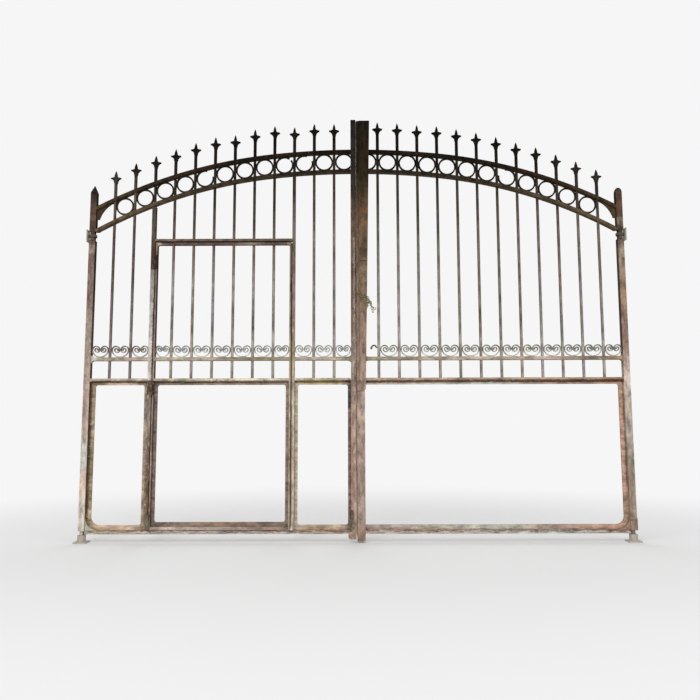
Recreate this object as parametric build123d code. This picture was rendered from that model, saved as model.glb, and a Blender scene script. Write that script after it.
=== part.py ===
from build123d import *
import math
import os

# Wrought iron driveway gate: two arched leaves with a foot gate in the left one.
# Millimetres, +Z up. +X runs along the closed gate from the left heel to the right heel,
# and the side with the cover strip and the foot gate's hinges faces -Y.
# Origin: underside of the left foot step, on the left leaf's turning axis.

os.makedirs("parts", exist_ok=True)

# Overall
heel_spacing = 3604.0       # between the turning axes of the two leaves
ground_gap = 57.0           # ground to the underside of the bottom rails
meeting_gap = 5.4           # between the two meeting stiles
fit = 0.3                   # working gap between pieces that seat on each other
frame_depth = 38.0          # thickness of stiles and rails, front to back

# Arch of the leaves: flatter over the middle, rounder at the shoulders
arch_height = 2598.0        # top of the upper arch rail at the middle, above the bottom rail
crown_radius = 5300.0
shoulder_radius = 3360.0
crown_half = 600.0          # where the crown meets the shoulders
rail_gap = 118.0            # clear band between the two arch rails, which the rings fill
arch_rail = 22.0            # height of an arch rail
toe_length = 20.0           # level toe of the lower arch rail against the heel stile

# Spears
spear_rise = 208.0          # tips above the arch at the middle
spear_radius = 4160.0       # the tips stand near one long arc, and this far off it from the heel on
left_spear_steps = (-3, -3, -1, 0, 4, 9, -7, 8, 11, -14, -3, -11)
right_spear_steps = (-4, -3, -3, 3, -2, 3, 5, 5, 6, -2, 0, 0)
spear_swell = 1.5           # the bars are that much thicker above the arch, all round

# Heel stiles
heel_width = 42.0
heel_rise = 99.5            # top of the stile above the end of the arch
point_rise = 50.0           # pyramid on the left heel stile
cap_rise = 24.0             # top of the domed head on the right heel stile
cap_height = 40.0           # height of that dome
neck_radius = 18.5
neck_length = 60.0          # round stretch that turns in the top collar
neck_lap = 8.0              # how far it reaches above the underside of the lower arch rail
heel_bottom = 19.0
pivot_radius = 13.0
pivot_length = 39.0
boot_width = 46.0           # forged boot at the foot of the right heel stile
boot_height = 78.0

# Meeting stiles
left_stile_width = 34.0
left_stile_rise = 214.5     # top above the arch
left_stile_clear = 21.0     # worn foot above the ground
left_foot_reach = 20.0      # how far that foot reaches under the bottom rail
right_stile_width = 53.0
right_stile_rise = 206.0
right_stile_clear = 8.0
strip_thickness = 6.0
strip_inset = 18.0          # cover strip back from the meeting edge
strip_top_width = 73.0
strip_low_width = 41.0
strip_bottom = 940.0
strip_lap = 1812.0          # height of the lap between the strip's two lengths

# Bars
bars_per_leaf = 12
bar_radius = 9.5
heel_bay = 143.7            # heel axis to the first bar
meeting_bay = 147.6         # last bar to the meeting edge

# Rails, as heights above the underside of the bottom rail
bottom_rail = 22.0
mid_rail_top = 1017.0
mid_rail = 22.0
scroll_rail_rise = 142.0    # top of the scroll rail above the middle rail
scroll_rail = 24.0

# Scrolls and rings
scroll_height = 80.0
scroll_strip = 7.0
scroll_depth = 12.0
scroll_eye = 6.5            # radius of the knob at the end of a curl
stub_strip = 10.0           # what is left of the broken scroll, swollen with rust
stub_eye = 8.0
ring_strip = 11.0
ring_seat = 3.0             # how far a ring is let into the bars and rails around it
ring_depth = 12.0
left_broken_rings = {4: (14, 78), 8: (38, 55), 9: (18, 72)}     # angles of the missing arcs
right_broken_rings = {4: (14, 80)}

# Panel frames: strips that once held sheet iron, set behind the middle of the gate
panel_strip = 22.0
panel_heel_strip = 33.0     # beside the heel stiles
panel_foot_strip = 34.0
panel_depth = 10.0
panel_corner = 16.0
gusset_corner = 54.0        # in the corner that has a gusset, where the strip follows its curve

# Foot gate
wicket_first_bar = 2        # its hinge post stands at this bar
wicket_last_bar = 9         # and its lock post at this one
hinge_post_width = 27.0
lock_post_width = 20.5
wicket_depth = 30.0
wicket_gap = 5.9
wicket_stile = 11.0
wicket_height = 1947.0      # top of the foot gate
wicket_top_rail = 18.0
wicket_low_rail = 16.0
wicket_foot_strip = 30.0
lintel = 18.0
wicket_web = 10.0
stop_depth = 4.0            # strips behind the foot gate, which its stiles close against
stop_lap = 10.0
stop_clear = 5.2
knuckle_radius = 7.0
hinge_pin_radius = 4.0
hinge_plate = 4.0
hinge_play = 0.1
hinge_length = 96.0
low_hinge = 77.0
middle_hinge = 955.0
top_hinge_drop = 137.0      # top hinge below the top of the foot gate

# Hinge hardware that stays on the piers
collar_wall = 8.0
collar_height = 16.0
collar_plate = (6.0, 56.0, 84.0)
collar_hole_radius = 5.5
collar_hole_spacing = 60.0
pier_gap = 17.0             # heel stile to the pier's face
step_wall = 14.0
step_rise = 26.0            # gap between heel stile and foot step
step_plate = (84.0, 84.0, 9.0)

# Brackets
top_bracket = (100.0, 65.0)
corner_gusset = 78.0
bracket_depth = 10.0

# Lock plate, foot bolt and chain
lock_plate_size = (40.0, 5.0, 48.0)
lock_boss_radius = 12.0
bolt_radius = 6.0
bolt_low = 20.0
bolt_high = 92.0
bolt_loop = (24.0, 64.0)    # loop handle, width and height between the middles of its rod
bolt_loop_radius = 5.0
keeper_heights = (34.0, 68.0)
chain_radius = 6.0
chain_clear = 0.8           # round the chain in its hole
chain_high = 1585.0
chain_low = 1528.0

half_depth = frame_depth / 2
spear_height = arch_height + spear_rise
left_stile_top = arch_height + left_stile_rise
left_stile_foot = left_stile_clear - ground_gap
right_stile_top = arch_height + right_stile_rise
right_stile_foot = right_stile_clear - ground_gap
scroll_rail_top = mid_rail_top + scroll_rail_rise
hinge_heights = (low_hinge, middle_hinge, wicket_height - top_hinge_drop)
meet = heel_spacing / 2 - meeting_gap / 2
bar_pitch = (meet - heel_bay - meeting_bay) / (bars_per_leaf - 1)
left_face = meet - left_stile_width
right_face = meet - right_stile_width
hinge_post = heel_bay + wicket_first_bar * bar_pitch
lock_post = heel_bay + wicket_last_bar * bar_pitch
wicket_left = hinge_post + hinge_post_width / 2 + wicket_gap
wicket_right = lock_post - lock_post_width / 2 - wicket_gap
wicket_foot = bottom_rail + wicket_gap
heel_face = heel_width / 2


def bar_at(index):
    """Distance of a bar from the heel axis."""
    return heel_bay + index * bar_pitch


def block(x0, x1, y0, y1, z0, z1):
    """Box between two corners, with z counted from the underside of the bottom rail."""
    centre = ((x0 + x1) / 2, (y0 + y1) / 2, (z0 + z1) / 2 + ground_gap)
    return Pos(*centre) * Box(x1 - x0, y1 - y0, z1 - z0)


def rod(x, y, z0, z1, radius):
    """Upright round bar."""
    return Pos(x, y, (z0 + z1) / 2 + ground_gap) * Cylinder(radius, z1 - z0)


def upright(outline, y0, y1):
    """Face drawn in X and Z, given its depth from y0 to y1."""
    return extrude(Pos(0, y1, ground_gap) * (Plane.XZ * outline), y1 - y0)


def mirrored(shape):
    """The same piece on the right leaf."""
    return Pos(heel_spacing, 0, 0) * mirror(shape, Plane.YZ)


def save(name, *solids):
    """One file for one named piece."""
    export_step(Compound(children=[s for shape in solids for s in shape.solids()]), f"parts/{name}.step")


# ---- Arch geometry: u is the distance from the heel axis ----

def arch_z(u, drop):
    """Height of the arch at u, on the curve that runs drop below its top edge."""
    x = heel_spacing / 2 - u
    turn = math.asin(crown_half / crown_radius)
    if x <= (crown_radius - drop) * math.sin(turn):
        return arch_height - crown_radius + math.sqrt((crown_radius - drop) ** 2 - x ** 2)
    centre_x = crown_half - shoulder_radius * math.sin(turn)
    centre_z = arch_height - crown_radius + (crown_radius - shoulder_radius) * math.cos(turn)
    return centre_z + math.sqrt((shoulder_radius - drop) ** 2 - (x - centre_x) ** 2)


def arch_edge(u0, u1, drop):
    """The arch's curve between two places, as one or two arcs."""
    turn = math.asin(crown_half / crown_radius)
    joint = heel_spacing / 2 - (crown_radius - drop) * math.sin(turn)
    stops = [u0, joint, u1] if u0 < joint < u1 else [u0, u1]
    arcs = []
    for a, b in zip(stops, stops[1:]):
        points = [(u, arch_z(u, drop)) for u in (a, (a + b) / 2, b)]
        arcs.append(ThreePointArc(*points))
    return arcs


def arch_band(u0, u1, top, bottom, y0, y1):
    """Solid between two of the arch's curves."""
    edges = arch_edge(u0, u1, top) + arch_edge(u0, u1, bottom)
    edges.append(Line((u0, arch_z(u0, top)), (u0, arch_z(u0, bottom))))
    edges.append(Line((u1, arch_z(u1, top)), (u1, arch_z(u1, bottom))))
    return upright(make_face(edges), y0, y1)


def drilled(solid, places, z0, z1):
    """Punches the round holes that the bars pass through."""
    holes = [rod(u, 0, z0, z1, bar_radius + fit) for u in places]
    return solid - holes


lower_drop = arch_rail + rail_gap
all_bars = [bar_at(i) for i in range(bars_per_leaf)]
heel_height = arch_z(heel_face, 0) + heel_rise
neck_high = arch_z(heel_face, lower_drop + arch_rail) + neck_lap
neck_low = neck_high - neck_length


def arch_rail_solid(face, drop):
    """One of the two arch rails of a leaf, from the heel stile to the meeting stile."""
    band = arch_band(heel_face, face, drop, drop + arch_rail, -half_depth, half_depth)
    if drop:
        level = arch_z(heel_face + toe_length, drop + arch_rail) - 4
        band -= block(0, heel_face + 2 * toe_length, -frame_depth, frame_depth, level - 100, level)
        toe = block(heel_face, heel_face + toe_length + 2, -half_depth, half_depth, level, level + 12)
        band += fillet(toe.edges().filter_by(Axis.Y).group_by(Axis.Z)[0].sort_by(Axis.X)[-1], 7)
    return drilled(band, all_bars, neck_high, spear_height)


def sector(radius, low, high):
    """Triangle that covers a circle between two angles."""
    reach = 4 * radius
    corners = [(reach * math.cos(math.radians(a)), reach * math.sin(math.radians(a))) for a in (low, high)]
    return make_face(Polyline((0, 0), *corners, close=True))


def ring_solids(face, broken):
    """Rings let into the bars and rails around their bays. The stile cuts the last, and some lack an arc."""
    half = bar_pitch / 2 - bar_radius - fit
    wide, tall = half + ring_seat, rail_gap / 2 + ring_seat
    middle = lower_drop - rail_gap / 2
    rings = []
    for i in range(bars_per_leaf):
        u = bar_at(i) + bar_pitch / 2
        ring = Ellipse(wide, tall) - Ellipse(wide - ring_strip, tall - ring_strip)
        if i in broken:
            ring = ring - sector(wide, *broken[i])
        ring = upright(Pos(u, arch_z(u, middle)) * ring, -ring_depth / 2, ring_depth / 2)
        room = arch_band(u - half, min(u + half, face - fit), arch_rail + fit, lower_drop - fit,
                         -ring_depth, ring_depth)
        rings.append(ring & room)
    return rings


# ---- Spears and bars ----

shaft_radius = bar_radius + spear_swell


def spear():
    """Forged spear head: a point, two side barbs and a flared socket. Its tip is at the origin."""
    point, shoulder, barb, socket = 0.0, -44.0, -54.0, -92.0
    edge = [
        ThreePointArc((0, point), (6.2, -18), (10, shoulder)),
        ThreePointArc((10, shoulder), (20, barb + 6), (35, barb + 3)),
        Line((35, barb + 3), (34, barb - 3)),
        ThreePointArc((34, barb - 3), (21, barb - 10), (14, barb - 22)),
        Line((14, barb - 22), (shaft_radius - 1, socket)),
        Line((shaft_radius - 1, socket), (0, socket)),
        Line((0, socket), (0, point)),
    ]
    half = make_face(edge)
    front = extrude(Plane.XZ * (half + mirror(half, Plane.YZ)), 12, both=True)
    low = shaft_radius - 1
    side = Polyline((-1, 0), (1, 0), (8, -34), (8, -66), (low, socket), (-low, socket), (-8, -66), (-8, -34),
                    close=True)
    return front & extrude(Plane.YZ * make_face(side), 40, both=True)


spear_head = spear()
spear_length = 92.0


def spear_z(u):
    """Height of the spear tip above a bar."""
    x = heel_spacing / 2 - u
    return spear_height - spear_radius + math.sqrt(spear_radius ** 2 - x ** 2)


def speared_bar(u, z0, step):
    """Round bar from z0 through the arch rails, with its thicker shaft and spear head a step off the arc."""
    tip = spear_z(u) + step
    shaft = rod(u, 0, arch_z(u + shaft_radius, 0) + fit, tip - spear_length + 1, shaft_radius)
    return rod(u, 0, z0, tip - spear_length, bar_radius) + shaft + Pos(u, 0, tip + ground_gap) * spear_head


def bar_solids(indices, z0, steps):
    return [speared_bar(bar_at(i), z0, steps[i]) for i in indices]


# ---- Stiles ----

def heel_stile(top, boot):
    """Square heel stile with its round neck at the top collar and its pivot pin below."""
    low = block(-heel_face, heel_face, -half_depth, half_depth, heel_bottom, neck_low)
    high = block(-heel_face, heel_face, -half_depth, half_depth, neck_high, top)
    low = chamfer(low.edges().group_by(Axis.Z)[-1], 5)
    neck = rod(0, 0, neck_low - 1, neck_high + 1, neck_radius)
    pin = rod(0, 0, heel_bottom - pivot_length, heel_bottom + 1, pivot_radius)
    pin = chamfer(pin.edges().group_by(Axis.Z)[0], 4)
    stile = low + neck + high + pin
    if boot:
        half = boot_width / 2
        stile += block(-half, heel_face, -half, half, heel_bottom, heel_bottom + boot_height)
    return stile


def pointed_head():
    """Four-sided point on the left heel stile."""
    base = Pos(0, 0, heel_height + ground_gap) * Rectangle(heel_width, frame_depth)
    tip = Pos(0, 0, heel_height + point_rise + ground_gap) * Rectangle(3, 3)
    return loft([base.face(), tip.face()])


def domed_head():
    """Head of the right heel stile, rounded both ways."""
    base = heel_height + cap_rise - cap_height
    front, side = (
        make_face([EllipticalCenterArc((0, base), half, cap_height, start_angle=0, arc_size=180),
                   Line((-half, base), (half, base))])
        for half in (heel_face, half_depth))
    across = Pos(0, 0, ground_gap) * extrude(Plane.YZ * side, heel_width, both=True)
    return upright(front, -frame_depth, frame_depth) & across


def left_meeting_stile():
    """Meeting stile of the left leaf. Its foot is worn round and reaches under the bottom rail."""
    stile = block(left_face, meet, -half_depth, half_depth, left_stile_foot, left_stile_top)
    stile += block(left_face - left_foot_reach, meet, -half_depth, half_depth, left_stile_foot, -fit)
    corner = stile.edges().filter_by(Axis.Y).group_by(Axis.Z)[0].sort_by(Axis.X)
    stile = fillet(corner[0], 0.9 * left_foot_reach)
    return chamfer(stile.edges().filter_by(Axis.Y).group_by(Axis.Z)[-1], 1.5)


def right_meeting_stile():
    """Meeting stile of the right leaf. The chain passes through a hole in it."""
    stile = block(right_face, meet, -half_depth, half_depth, right_stile_foot, right_stile_top)
    foot = stile.edges().filter_by(Axis.Y).group_by(Axis.Z)[0].sort_by(Axis.X)
    stile = chamfer(foot[0], 6)
    hole = Pos(chain_hole, 0, chain_high + ground_gap) * Rot(90, 0, 0)
    return stile - hole * Cylinder(chain_radius + chain_clear, 2 * frame_depth)


strip_start = meet - strip_inset
chain_hole = strip_start - 2 * chain_radius


def strip_width(z):
    """Width of the cover strip, which narrows evenly towards the lock plate."""
    share = (z - strip_bottom) / (right_stile_top - strip_bottom)
    return strip_low_width + share * (strip_top_width - strip_low_width)


def cover_strip(z0, z1):
    """One length of the cover strip on the front of the right meeting stile."""
    outline = Polyline((strip_start, z0), (strip_start - strip_width(z0), z0),
                       (strip_start - strip_width(z1), z1), (strip_start, z1), close=True)
    front = -half_depth - strip_thickness
    strip = upright(make_face(outline), front, -half_depth)
    hole = Pos(chain_hole, 0, chain_high + ground_gap) * Rot(90, 0, 0)
    return strip - hole * Cylinder(chain_radius + chain_clear, 2 * frame_depth)


# ---- Rails ----

def rail(x0, x1, top, height, depth, bars, flare_left=None, flare_right=None):
    """Flat rail with punched holes, and forged swellings (rise, length) where it meets a stile."""
    body = block(x0, x1, -depth / 2, depth / 2, top - height, top)
    for x, side, flare in ((x0, 1, flare_left), (x1, -1, flare_right)):
        if flare:
            rise, low = flare[0], top - height
            near, far = x + side * flare[1] * 0.3, x + side * flare[1]
            outline = [
                Line((x, top + rise), (x, low - rise)),
                ThreePointArc((x, low - rise), (near, low - rise * 0.3), (far, low)),
                Line((far, low), (far, top)),
                ThreePointArc((far, top), (near, top + rise * 0.3), (x, top + rise)),
            ]
            body += upright(make_face(outline), -depth / 2, depth / 2)
    return drilled(body, bars, top - height - 1, top + 1) if bars else body


def bars_between(x0, x1):
    return [u for u in all_bars if x0 + bar_radius < u < x1 - bar_radius]


def scroll_rail_between(x0, x1, depth, flare_left=None, flare_right=None):
    return rail(x0, x1, scroll_rail_top, scroll_rail, depth, bars_between(x0, x1), flare_left, flare_right)


def mid_rail_between(x0, x1, depth):
    return rail(x0, x1, mid_rail_top, mid_rail, depth, [])


def panel_opening(width, height, heel_corner):
    """Opening of a panel frame. Its lower corner on the heel side has a radius of its own."""
    opening = Rectangle(width, height)
    corners = sorted(opening.vertices(), key=lambda corner: corner.X + corner.Y)
    opening = fillet(corners[1:], panel_corner)
    corners = sorted(opening.vertices(), key=lambda corner: corner.X + corner.Y)
    return fillet(corners[:1], heel_corner)


def panel_frame(x0, x1, z0, z1, foot_strip, left_strip, right_strip, heel_corner=panel_corner):
    """Retaining frame of a lower panel, with rounded inside corners. A side with no strip is open."""
    inner_x0 = x0 + left_strip
    inner_x1 = x1 - right_strip if right_strip else x1 + 2 * heel_corner
    inner_z0, inner_z1 = z0 + foot_strip, z1 - panel_strip
    opening = panel_opening(inner_x1 - inner_x0, inner_z1 - inner_z0, heel_corner)
    opening = Pos((inner_x0 + inner_x1) / 2, (inner_z0 + inner_z1) / 2) * opening
    outer = Pos((x0 + x1) / 2, (z0 + z1) / 2) * Rectangle(x1 - x0 - 2 * fit, z1 - z0 - 2 * fit)
    return upright(outer - opening, 2, 2 + panel_depth)


# ---- Scrolls ----

def curl_edges(half, height):
    """Half of a C-scroll in X and Z: up its side and round its curl to the eye."""
    reach = half - scroll_strip / 2
    big = min(0.34 * height, 0.43 * half)
    small, eye = 0.66 * big, 0.42 * big
    knee = height - scroll_strip / 2 - big
    left = reach - 2 * big
    inner = left + 2 * small
    side = EllipticalCenterArc((0, knee), reach, knee - scroll_strip / 2, start_angle=270, arc_size=90)
    curl = [
        ThreePointArc((reach, knee), (reach - big, knee + big), (left, knee)),
        ThreePointArc((left, knee), (left + small, knee - small), (inner, knee)),
        ThreePointArc((inner, knee), (inner - eye, knee + eye), (inner - 2 * eye, knee)),
    ]
    return side, curl


def strip_along(edges, thickness):
    """Flat strip bent along a line in the gate's plane."""
    path = Wire(edges)
    start = Plane(path @ 0, x_dir=(0, 0, 1), z_dir=path % 0)
    return sweep(start * Rectangle(scroll_depth, thickness), path)


def knob(curl, radius):
    """Round knob at the end of a curl."""
    end = curl[-1] @ 1
    return Pos(end.X, end.Y) * Cylinder(radius, scroll_depth)


def scroll(half, height):
    """Whole C-scroll, lying on its back at the origin."""
    side, curl = curl_edges(half, height)
    right = strip_along([side, *curl], scroll_strip) + knob(curl, scroll_eye)
    return Plane.XZ * (right + mirror(right, Plane.YZ))


def hook(half, height):
    """What is left of a broken scroll: the top of one curl, thick with rust."""
    curl = curl_edges(half - (stub_strip - scroll_strip) / 2, height)[1][:1]
    return Plane.XZ * mirror(strip_along(curl, stub_strip) + knob(curl, stub_eye), Plane.YZ)


def scroll_row(edges_of_bays):
    """One scroll in each bay, seated on the scroll rail."""
    row = []
    for x0, x1 in edges_of_bays:
        piece = scroll((x1 - x0) / 2 - fit, scroll_height)
        row.append(Pos((x0 + x1) / 2, 0, scroll_rail_top + ground_gap) * piece)
    return row


def bays(x0, x1):
    """Clear spaces between the pieces that stand on the scroll rail from x0 to x1."""
    edges = [x0]
    for u in bars_between(x0, x1):
        edges += [u - bar_radius, u + bar_radius]
    edges.append(x1)
    return list(zip(edges[::2], edges[1::2]))


# ---- Brackets ----

def top_bracket_solid():
    """Curved web between the heel stile and the upper arch rail."""
    reach, drop = top_bracket
    u1 = heel_face + reach
    seat = arch_rail + fit
    z0 = arch_z(heel_face, seat)
    z1 = arch_z(u1, seat)
    foot = 0.3 * drop
    mid = (heel_face + 0.4 * reach, z0 - 0.26 * drop)
    edges = arch_edge(heel_face, u1, seat) + [
        Line((heel_face, z0), (heel_face, z0 - drop)),
        Line((heel_face, z0 - drop), (heel_face + foot, z0 - drop)),
        ThreePointArc((heel_face + foot, z0 - drop), mid, (u1, z1 - 7)),
        Line((u1, z1 - 7), (u1, z1)),
    ]
    return upright(make_face(edges), -bracket_depth / 2, bracket_depth / 2)


def corner_gusset_solid():
    """Curved web in the bottom outer corner of a leaf, in front of the panel frame."""
    x0, z0, size = heel_face, bottom_rail, corner_gusset
    sag = size * (1 - math.sqrt(0.5)) + 3
    edges = [
        Line((x0, z0), (x0, z0 + size)),
        Line((x0, z0 + size), (x0 + 4, z0 + size)),
        ThreePointArc((x0 + 4, z0 + size), (x0 + sag, z0 + sag), (x0 + size, z0 + 4)),
        Line((x0 + size, z0 + 4), (x0 + size, z0)),
        Line((x0 + size, z0), (x0, z0)),
    ]
    return upright(make_face(edges), -bracket_depth - 2, -2)


# ---- Left leaf ----

hinge_post_left = hinge_post - hinge_post_width / 2
hinge_post_right = hinge_post + hinge_post_width / 2
lock_post_left = lock_post - lock_post_width / 2
lock_post_right = lock_post + lock_post_width / 2
half_wicket = wicket_depth / 2
lintel_bottom = wicket_height + wicket_gap
left_rail = (heel_face, hinge_post_left)
right_rail = (lock_post_right, left_face)


def wicket_post(u, width, step):
    """Square post beside the foot gate, drawn down to a round bar above the lower arch rail."""
    shoulder = arch_z(u - width / 2, lower_drop + arch_rail) - fit
    post = block(u - width / 2, u + width / 2, -half_wicket, half_wicket, bottom_rail, shoulder)
    return post + speared_bar(u, shoulder - 1, step)


def wicket_stop(outer, inner, side):
    """Strip behind a post, packed off it at four places, for a stile of the foot gate to meet."""
    front = half_wicket + stop_clear
    lap = inner + side * (wicket_gap + stop_lap)
    stop = block(min(outer, lap), max(outer, lap), front, front + stop_depth, wicket_foot, wicket_height)
    for share in (0.08, 0.36, 0.64, 0.92):
        z = wicket_foot + share * (wicket_height - wicket_foot)
        stop += block(min(outer, inner), max(outer, inner), half_wicket, front + 1, z - 15, z + 15)
    return stop


save("left_heel_stile", heel_stile(heel_height, boot=False) + pointed_head())
save("left_meeting_stile", left_meeting_stile())
save("left_upper_arch_rail", arch_rail_solid(left_face, 0))
save("left_lower_arch_rail", arch_rail_solid(left_face, lower_drop))
save("left_rings", *ring_solids(left_face, left_broken_rings))
save("left_heel_side_bars", *bar_solids(range(wicket_first_bar), mid_rail_top, left_spear_steps))
save("left_bars_over_foot_gate",
     *bar_solids(range(wicket_first_bar + 1, wicket_last_bar), lintel_bottom + lintel, left_spear_steps))
save("left_meeting_side_bars",
     *bar_solids(range(wicket_last_bar + 1, bars_per_leaf), mid_rail_top, left_spear_steps))
save("foot_gate_posts", wicket_post(hinge_post, hinge_post_width, left_spear_steps[wicket_first_bar]),
     wicket_post(lock_post, lock_post_width, left_spear_steps[wicket_last_bar]))
save("foot_gate_stops", wicket_stop(hinge_post, hinge_post_right, 1),
     wicket_stop(lock_post, lock_post_left, -1))
save("foot_gate_lintel",
     block(hinge_post_right, lock_post_left, -half_wicket, half_wicket, lintel_bottom,
           lintel_bottom + lintel))
save("left_mid_rails", mid_rail_between(*left_rail, frame_depth), mid_rail_between(*right_rail, frame_depth))
save("left_scroll_rails", scroll_rail_between(*left_rail, wicket_depth, flare_left=(14, 28)),
     scroll_rail_between(*right_rail, wicket_depth, flare_right=(12, 40)))
save("left_scrolls", *scroll_row(bays(*left_rail)), *scroll_row(bays(*right_rail)))
save("left_bottom_rail", rail(heel_face, left_face, bottom_rail, bottom_rail, frame_depth, []))
save("left_panel_frames",
     panel_frame(heel_face, hinge_post_left, bottom_rail, mid_rail_top - mid_rail, panel_foot_strip,
                 panel_heel_strip, panel_strip, gusset_corner),
     panel_frame(lock_post_right, left_face, bottom_rail, mid_rail_top - mid_rail, panel_foot_strip,
                 panel_strip, panel_strip))
save("left_brackets", top_bracket_solid(), corner_gusset_solid())


def foot_bolt():
    """Drop bolt in two keepers on the front of the left meeting stile, with its loop handle."""
    u, y = left_face - 3, -half_depth - bolt_radius
    bolt = rod(u, y, bolt_low, bolt_high, bolt_radius)
    for z in keeper_heights:
        bolt += block(u - bolt_radius, u + bolt_radius + 16, y - bolt_radius - 2, -half_depth, z, z + 9)
    width, height = bolt_loop
    x0, x1 = u - width / 2, u + width / 2
    z0 = ground_gap + bolt_high - bolt_loop_radius
    loop = FilletPolyline((x0, y, z0), (x1, y, z0), (x1, y, z0 + height), (x0, y, z0 + height),
                          radius=width / 2 - 0.5, close=True)
    return bolt + sweep(Plane(loop @ 0, z_dir=loop % 0) * Circle(bolt_loop_radius), loop.wire())


save("foot_bolt", foot_bolt())


# ---- Foot gate ----

hinge_x = hinge_post_right + wicket_gap / 2
hinge_y = -half_wicket - knuckle_radius - 1
third = hinge_length / 3


def hinge_side(x0, x1, knuckles, pin):
    """One side of the three hinges: plates from x0 to x1, and the knuckles that belong to them."""
    back = -half_wicket
    reach = (x1 - 1, hinge_x) if x1 < hinge_x else (hinge_x, x0 + 1)
    sides = []
    for z in hinge_heights:
        low = z - hinge_length / 2
        side = block(x0, x1, back - hinge_plate, back, low, low + hinge_length)
        for k in knuckles:
            a, b = low + k * third + 0.5, low + (k + 1) * third - 0.5
            side += rod(hinge_x, hinge_y, a, b, knuckle_radius)
            side += block(*reach, back - hinge_plate, back - 1, a, b)
        if pin:
            side += rod(hinge_x, hinge_y, low, low + hinge_length, hinge_pin_radius)
        else:
            side -= rod(hinge_x, hinge_y, low, low + hinge_length, hinge_pin_radius + hinge_play)
        sides.append(side)
    return sides


clear_knuckle = knuckle_radius + 1
save("foot_gate_hinges_fixed", *hinge_side(hinge_post_left + 2, hinge_x - clear_knuckle, (0, 2), True))
save("foot_gate_hinges_moving", *hinge_side(hinge_x + clear_knuckle, wicket_left + wicket_stile, (1,), False))

inner_left = wicket_left + wicket_stile
inner_right = wicket_right - wicket_stile


def corner_web(x, z, side):
    """Small rounded web in an upper corner of the foot gate."""
    size, nib = wicket_web, 1.5
    arc = ThreePointArc((x + side * size, z - nib), (x + side * size * 0.36, z - size * 0.36),
                        (x + side * nib, z - size))
    outline = [Line((x, z + 1), (x + side * size, z + 1)), Line((x + side * size, z + 1),
               (x + side * size, z - nib)), arc, Line((x + side * nib, z - size), (x, z - size)),
               Line((x, z - size), (x, z + 1))]
    return upright(make_face(outline), -half_wicket, half_wicket)


wicket_rail_top = wicket_height - wicket_top_rail
top_rail = block(inner_left, inner_right, -half_wicket, half_wicket, wicket_rail_top, wicket_height)
save("foot_gate_stiles",
     block(wicket_left, inner_left, -half_wicket, half_wicket, wicket_foot, wicket_height),
     block(inner_right, wicket_right, -half_wicket, half_wicket, wicket_foot, wicket_height))
save("foot_gate_top_rail", top_rail + corner_web(inner_left, wicket_rail_top, 1)
     + corner_web(inner_right, wicket_rail_top, -1))
save("foot_gate_scroll_rail", scroll_rail_between(inner_left, inner_right, wicket_depth))
save("foot_gate_mid_rail", mid_rail_between(inner_left, inner_right, wicket_depth))
save("foot_gate_bottom_rail",
     block(inner_left, inner_right, -half_wicket, half_wicket, wicket_foot, wicket_foot + wicket_low_rail))
save("foot_gate_bars",
     *[rod(u, 0, mid_rail_top, wicket_rail_top, bar_radius) for u in bars_between(inner_left, inner_right)])
save("foot_gate_scrolls", *scroll_row(bays(inner_left, inner_right)))
save("foot_gate_panel_frame",
     panel_frame(inner_left, inner_right, wicket_foot + wicket_low_rail, mid_rail_top - mid_rail,
                 wicket_foot_strip, panel_strip, panel_strip))


# ---- Right leaf ----

right_bays = bays(heel_face, right_face)
save("right_heel_stile",
     mirrored(heel_stile(heel_height + cap_rise - cap_height, boot=True) + domed_head()))
save("right_meeting_stile", mirrored(right_meeting_stile()))
save("cover_strip", mirrored(cover_strip(strip_bottom, strip_lap)),
     mirrored(cover_strip(strip_lap + 1, right_stile_top)))
save("right_upper_arch_rail", mirrored(arch_rail_solid(right_face, 0)))
save("right_lower_arch_rail", mirrored(arch_rail_solid(right_face, lower_drop)))
save("right_rings", *[mirrored(ring) for ring in ring_solids(right_face, right_broken_rings)])
save("right_bars",
     *[mirrored(bar) for bar in bar_solids(range(bars_per_leaf), mid_rail_top, right_spear_steps)])
save("right_mid_rail", mirrored(mid_rail_between(heel_face, right_face, frame_depth)))
save("right_scroll_rail",
     mirrored(scroll_rail_between(heel_face, right_face, wicket_depth, flare_left=(13, 26),
                                  flare_right=(12, 44))))
save("right_bottom_rail", mirrored(rail(heel_face, right_face, bottom_rail, bottom_rail, frame_depth, [])))
save("right_panel_frame",
     mirrored(panel_frame(heel_face, right_face, bottom_rail, mid_rail_top - mid_rail, panel_foot_strip,
                          panel_heel_strip, 0, gusset_corner)))
save("right_brackets", mirrored(top_bracket_solid()), mirrored(corner_gusset_solid()))

# The scroll next to the meeting stile has broken off but for one curl beside the first bar.
broken_x0, broken_x1 = right_bays[-1]
stub = Pos((broken_x0 + broken_x1) / 2, 0, scroll_rail_top + ground_gap) * hook(
    (broken_x1 - broken_x0) / 2 - fit, scroll_height)
save("right_scrolls", *[mirrored(s) for s in scroll_row(right_bays[:-1])], mirrored(stub))


def lock_plate():
    """Lock plate with its round boss, across the foot of the cover strip."""
    width, thickness, height = lock_plate_size
    right = meet - 2
    front = -half_depth - strip_thickness
    plate = block(right - width, right, front - thickness, front, strip_bottom - 9, strip_bottom - 9 + height)
    boss = Pos(right - width * 0.45, front - thickness / 2, ground_gap + strip_bottom + 50) * Rot(90, 0, 0)
    packing = block(right - width, right, front, -half_depth, strip_bottom - 9, strip_bottom)
    return plate + packing + boss * Cylinder(lock_boss_radius, thickness)


save("lock_plate", mirrored(lock_plate()))


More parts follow.
